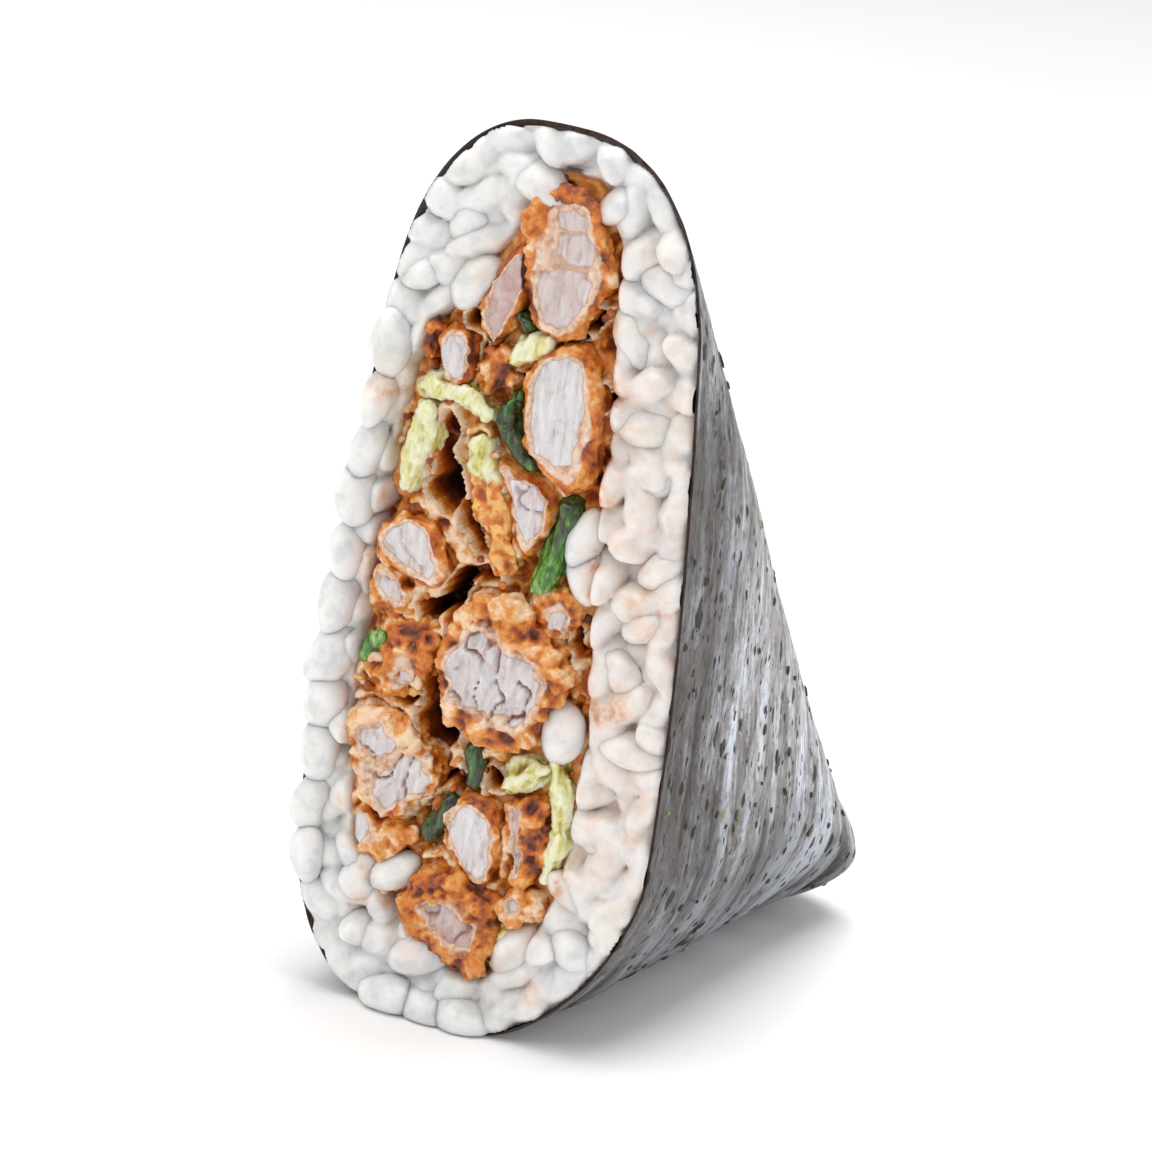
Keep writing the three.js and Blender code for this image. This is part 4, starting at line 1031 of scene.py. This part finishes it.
def refined(node):
    """A node's solid as an even, softened skin of fine points, with normals."""
    piece = scene_object("soft_" + node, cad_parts[node].data.copy())
    remesh = piece.modifiers.new("remesh", "REMESH")
    remesh.mode = "VOXEL"
    remesh.voxel_size = VOXEL * MM
    smooth = piece.modifiers.new("smooth", "SMOOTH")
    smooth.factor = 0.5
    smooth.iterations = 6
    mesh = bpy.data.meshes.new_from_object(piece.evaluated_get(bpy.context.evaluated_depsgraph_get()))
    count = len(mesh.vertices)
    points = np.empty(count * 3)
    normals = np.empty(count * 3)
    mesh.vertices.foreach_get("co", points)
    mesh.vertices.foreach_get("normal", normals)
    faces = [list(face.vertices) for face in mesh.polygons]
    bpy.data.objects.remove(piece)
    bpy.data.meshes.remove(mesh)
    return unplace(points.reshape(-1, 3)), normals.reshape(-1, 3), faces


def distance_inwards(points, normals):
    """How far each point lies from the piece's outline as the cut shows it; 0 down its sides."""
    cut = points[:, 1].min()
    rim = np.flatnonzero((normals[:, 1] > -0.55) & (points[:, 1] < cut + 1.4))
    flat = points * [1, 0, 1]
    tree = KDTree(len(rim))
    for k, index in enumerate(rim):
        tree.insert(Vector(flat[index]), k)
    tree.balance()
    inwards = np.zeros(len(points))
    for index in np.flatnonzero(normals[:, 1] < -0.5):
        inwards[index] = tree.find(Vector(flat[index]))[2]
    return inwards


def rim_share(number, points, inwards, batter, frayed):
    """Below 0 in the meat, 0 at its edge, 0.5 where batter turns to crust, and 1 at the piece's outline."""
    bare = np.full(len(points), -9.0)
    for outline in MEAT.get(number, []):
        bare = np.maximum(bare, signed_distance(points[:, [0, 2]], np.reshape(outline, (-1, 2)))[0])
    bare += frayed * (fractal(points, 1.3, 3, 57) - 0.5)
    out = np.maximum(-bare, 0)
    patchy = 0.5 * (noise(points, 1.9, 61) - 0.5) + 0.25 * (noise(points, 0.8, 67) - 0.5)
    share = np.clip(out / np.maximum(out + inwards, 0.05) + patchy * smoothstep(0, 0.4, out), 0, 1)
    pale = 0.5 * share / max(batter, 0.01)
    brown = 0.5 + 0.5 * (share - batter) / (1 - batter)
    return np.where(bare > 0, -bare, np.where(share < batter, pale, brown))


def chicken_piece(number, material):
    """A piece of chicken with crags and crumbs on its crust, and torn fibres in its meat."""
    node = f"chicken_{number}"
    seed = 13 * (number - 1)
    batter, rough, rosy, pale, torn = CHICKEN[number]
    points, normals, faces = refined(node)
    inwards = distance_inwards(points, normals)
    share = rim_share(number, points, inwards, batter, 0.5 + 1.3 * torn)
    crust = smoothstep(0.0, 0.45, share)
    crumbs = fractal(points, 1.3, 4, seed + 3)
    crags = ridged(points, 1.7, 3, seed + 5)
    fibres = fractal(points * [1.0, 1.0, 0.18], 0.5, 3, seed + 7)
    tears = torn * smoothstep(0.92, 0.98, ridged(points * [1.0, 0.3, 0.6], 1.6, 2, seed + 9))
    shreds = 1.1 * torn * (ridged(points * [1.0, 1.0, 0.6], 1.5, 3, seed + 15) - 0.62)
    on_crust = rough * (1.3 * (crumbs - 0.47) + 0.8 * (crags - 0.62))
    on_meat = -0.10 + 0.30 * (fibres - 0.5) + 0.25 * (noise(points, 2.0, seed + 11) - 0.5)
    on_meat = on_meat - 0.5 * tears + shreds
    lift = crust * on_crust + (1 - crust) * on_meat
    points = points + normals * lift[:, None]
    # crest: painted highlight on the crust's raised crags and painted shade in its dips, plus each piece's
    # own paler or darker crust.
    crest = np.clip(on_crust * 1.4, -0.5, 0.6) + 2 * pale
    points[:, 1] = np.maximum(points[:, 1], -MOST_PROUD)
    points = keep_inside(points, 0.9)
    attributes = {"share": share, "crest": crest, "rosy": np.full(len(points), rosy), "tear": tears}
    piece = mesh_piece(node + "_fried", points, faces, material, attributes)
    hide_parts(node)


# How much sauce clings to a shred, and the height below which it does so most.
SAUCED = {"cabbage_4": (1.0, 45.5), "cabbage_5": (0.4, 22), "cabbage_2": (0.2, 50)}
# How fresh and bright a piece of spring onion is, at its top and at its foot.
FRESH = {
    "spring_onion_1": (0.35, 0.15),
    "spring_onion_2": (0.15, 1.0),
    "spring_onion_3": (1.0, 0.7),
    "spring_onion_4": (0.0, 0.1),
    "spring_onion_5": (0.3, 0.3),
    "spring_onion_6": (0.1, 0.0),
}


def leaf_piece(node, slot, material, crinkled, seed):
    """A shred of leaf with ripples along its length, more or less crinkled."""
    points, normals, faces = refined(node)
    centred = points - points.mean(0)
    axes = np.linalg.svd(centred[::7], full_matrices=False)[2]
    along = centred @ axes.T * [0.28, 1.0, 1.0]
    ripples = ridged(along, 1.2, 3, seed)
    crinkles = ridged(points, 1.1, 3, seed + 4)
    lift = 1.35 * (ripples - 0.68) + crinkled * (crinkles - 0.62) + 0.7 * (noise(points, 2.0, seed + 2) - 0.5)
    amount, below = SAUCED.get(node, (0.0, 0.0))
    top, foot = FRESH.get(node, (0.0, 0.0))
    z = points[:, 2]
    # crest: partly the leaf's pale ribs and partly painted light and shade of its ripples and crinkles.
    attributes = {
        "sauce": amount * (0.25 + 0.75 * smoothstep(below + 1.5, below - 1.5, z)),
        "crest": np.clip(2.6 * (ripples - 0.70) + 1.4 * crinkled * (crinkles - 0.62), -0.5, 0.5),
        "fresh": foot + (top - foot) * smoothstep(z.min(), z.max(), z),
    }
    piece = mesh_piece(node + "_shred", points + normals * lift[:, None], faces, material, attributes)
    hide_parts(node)


CRUMBS = {"count": 420, "seed": 43, "size": (0.12, 0.42), "deepest": 2.2}


def loose_crumbs(bed, material):
    """Specks of breading on the front of the filling."""
    rng = np.random.default_rng(CRUMBS["seed"])
    high = np.flatnonzero(bed[:, 1] < CRUMBS["deepest"])
    picked = bed[rng.choice(high, CRUMBS["count"], replace=False)]
    places = picked + [0, -0.05, 0]
    shape, faces = ball(2)
    size = rng.uniform(*CRUMBS["size"], (len(places), 1)) * rng.uniform(0.6, 1.3, (len(places), 3))
    turns = frames_towards(rng.normal(0, 1, (len(places), 3)), rng.uniform(0, 6, len(places)))
    points, all_faces = scattered(shape, faces, places, turns, size)
    centre = places[:, None, :]
    points = centre + (points - centre) * (0.6 + 0.9 * noise(points, 0.3, 5)[..., None])
    points = points.reshape(-1, 3)
    crest = np.repeat(rng.uniform(-0.3, 0.5, len(places)), shape.shape[0])
    attributes = {"share": np.ones(len(points)), "crest": crest}
    mesh_piece("breading_crumbs", points, all_faces, material, attributes)


def filling():
    bed = saucy_filling()
    fried = chicken_material()
    for number in CHICKEN:
        chicken_piece(number, fried)
    leaves = {"cabbage": (cabbage_material(), 0.65), "spring_onion": (onion_material(), 0.1)}
    for seed, node in enumerate(sorted(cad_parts)):
        kind = node.rpartition("_")[0]
        if kind in leaves:
            leaf_piece(node, kind, *leaves[kind], seed * 7)
    loose_crumbs(bed, fried)


# ---- Floor, light and camera ----

VIEW = {"azimuth": 19.51, "elevation": 17.83, "roll": 8.32, "distance": 0.357, "lens": 138.0}
AIM = Vector((-0.0003, -0.0120, 0.0362))
FLOOR_REACH = 3.0


def studio():
    """The pale floor, and soft light from all round."""
    mesh = bpy.data.meshes.new("floor")
    corners = [(x * FLOOR_REACH, y * FLOOR_REACH, 0) for x, y in ((-1, -1), (1, -1), (1, 1), (-1, 1))]
    mesh.from_pydata(corners, [], [(0, 1, 2, 3)])
    floor = scene_object("floor", mesh)
    white = Surface("pale_floor", Roughness=0.8)
    white.set("Base Color", white.ramp(white.noise(60, 2), (0.3, 0.86, 0.86, 0.86), (0.7, 0.88, 0.88, 0.88)))
    mesh.materials.append(white.material)
    world = bpy.data.worlds.new("studio")
    world.use_nodes = True
    background = world.node_tree.nodes["Background"].inputs
    background["Color"].default_value = (1.0, 1.0, 1.0, 1)
    background["Strength"].default_value = 0.62
    bpy.context.scene.world = world


def softbox(name, place_at, size, power):
    light = bpy.data.lights.new(name, "AREA")
    light.shape = "RECTANGLE"
    light.size, light.size_y = size
    light.energy = power
    lamp = scene_object(name, light)
    lamp.location = place_at
    lamp.rotation_mode = "QUATERNION"
    lamp.rotation_quaternion = (AIM - Vector(place_at)).to_track_quat("-Z", "Y")
    lamp.visible_camera = False


def camera():
    a, e, roll = (math.radians(VIEW[key]) for key in ("azimuth", "elevation", "roll"))
    back = Vector((math.sin(a) * math.cos(e), -math.cos(a) * math.cos(e), math.sin(e)))
    right = Vector((math.cos(a), math.sin(a), 0))
    up = back.cross(right)
    tilted_right = right * math.cos(roll) + up * math.sin(roll)
    tilted_up = up * math.cos(roll) - right * math.sin(roll)
    data = bpy.data.cameras.new("camera")
    data.lens = VIEW["lens"]
    data.sensor_width = 36
    data.clip_start, data.clip_end = 0.01, 10
    eye = scene_object("camera", data)
    turn = Matrix((tilted_right, tilted_up, back)).transposed().to_4x4()
    eye.matrix_world = Matrix.Translation(AIM + back * VIEW["distance"]) @ turn
    bpy.context.scene.camera = eye


camera()
studio()
softbox("key", (-0.25, -0.40, 0.50), (0.45, 0.45), 1.3)
softbox("side", (0.50, 0.42, 0.14), (0.40, 0.30), 1.6)
softbox("top", (0.0, 0.05, 0.60), (0.4, 0.4), 3.0)
bpy.context.scene.view_settings.view_transform = "Standard"

wrap, wrap_normals = wrinkled_seaweed()
dried_flakes(wrap, wrap_normals)
rice()
filling()
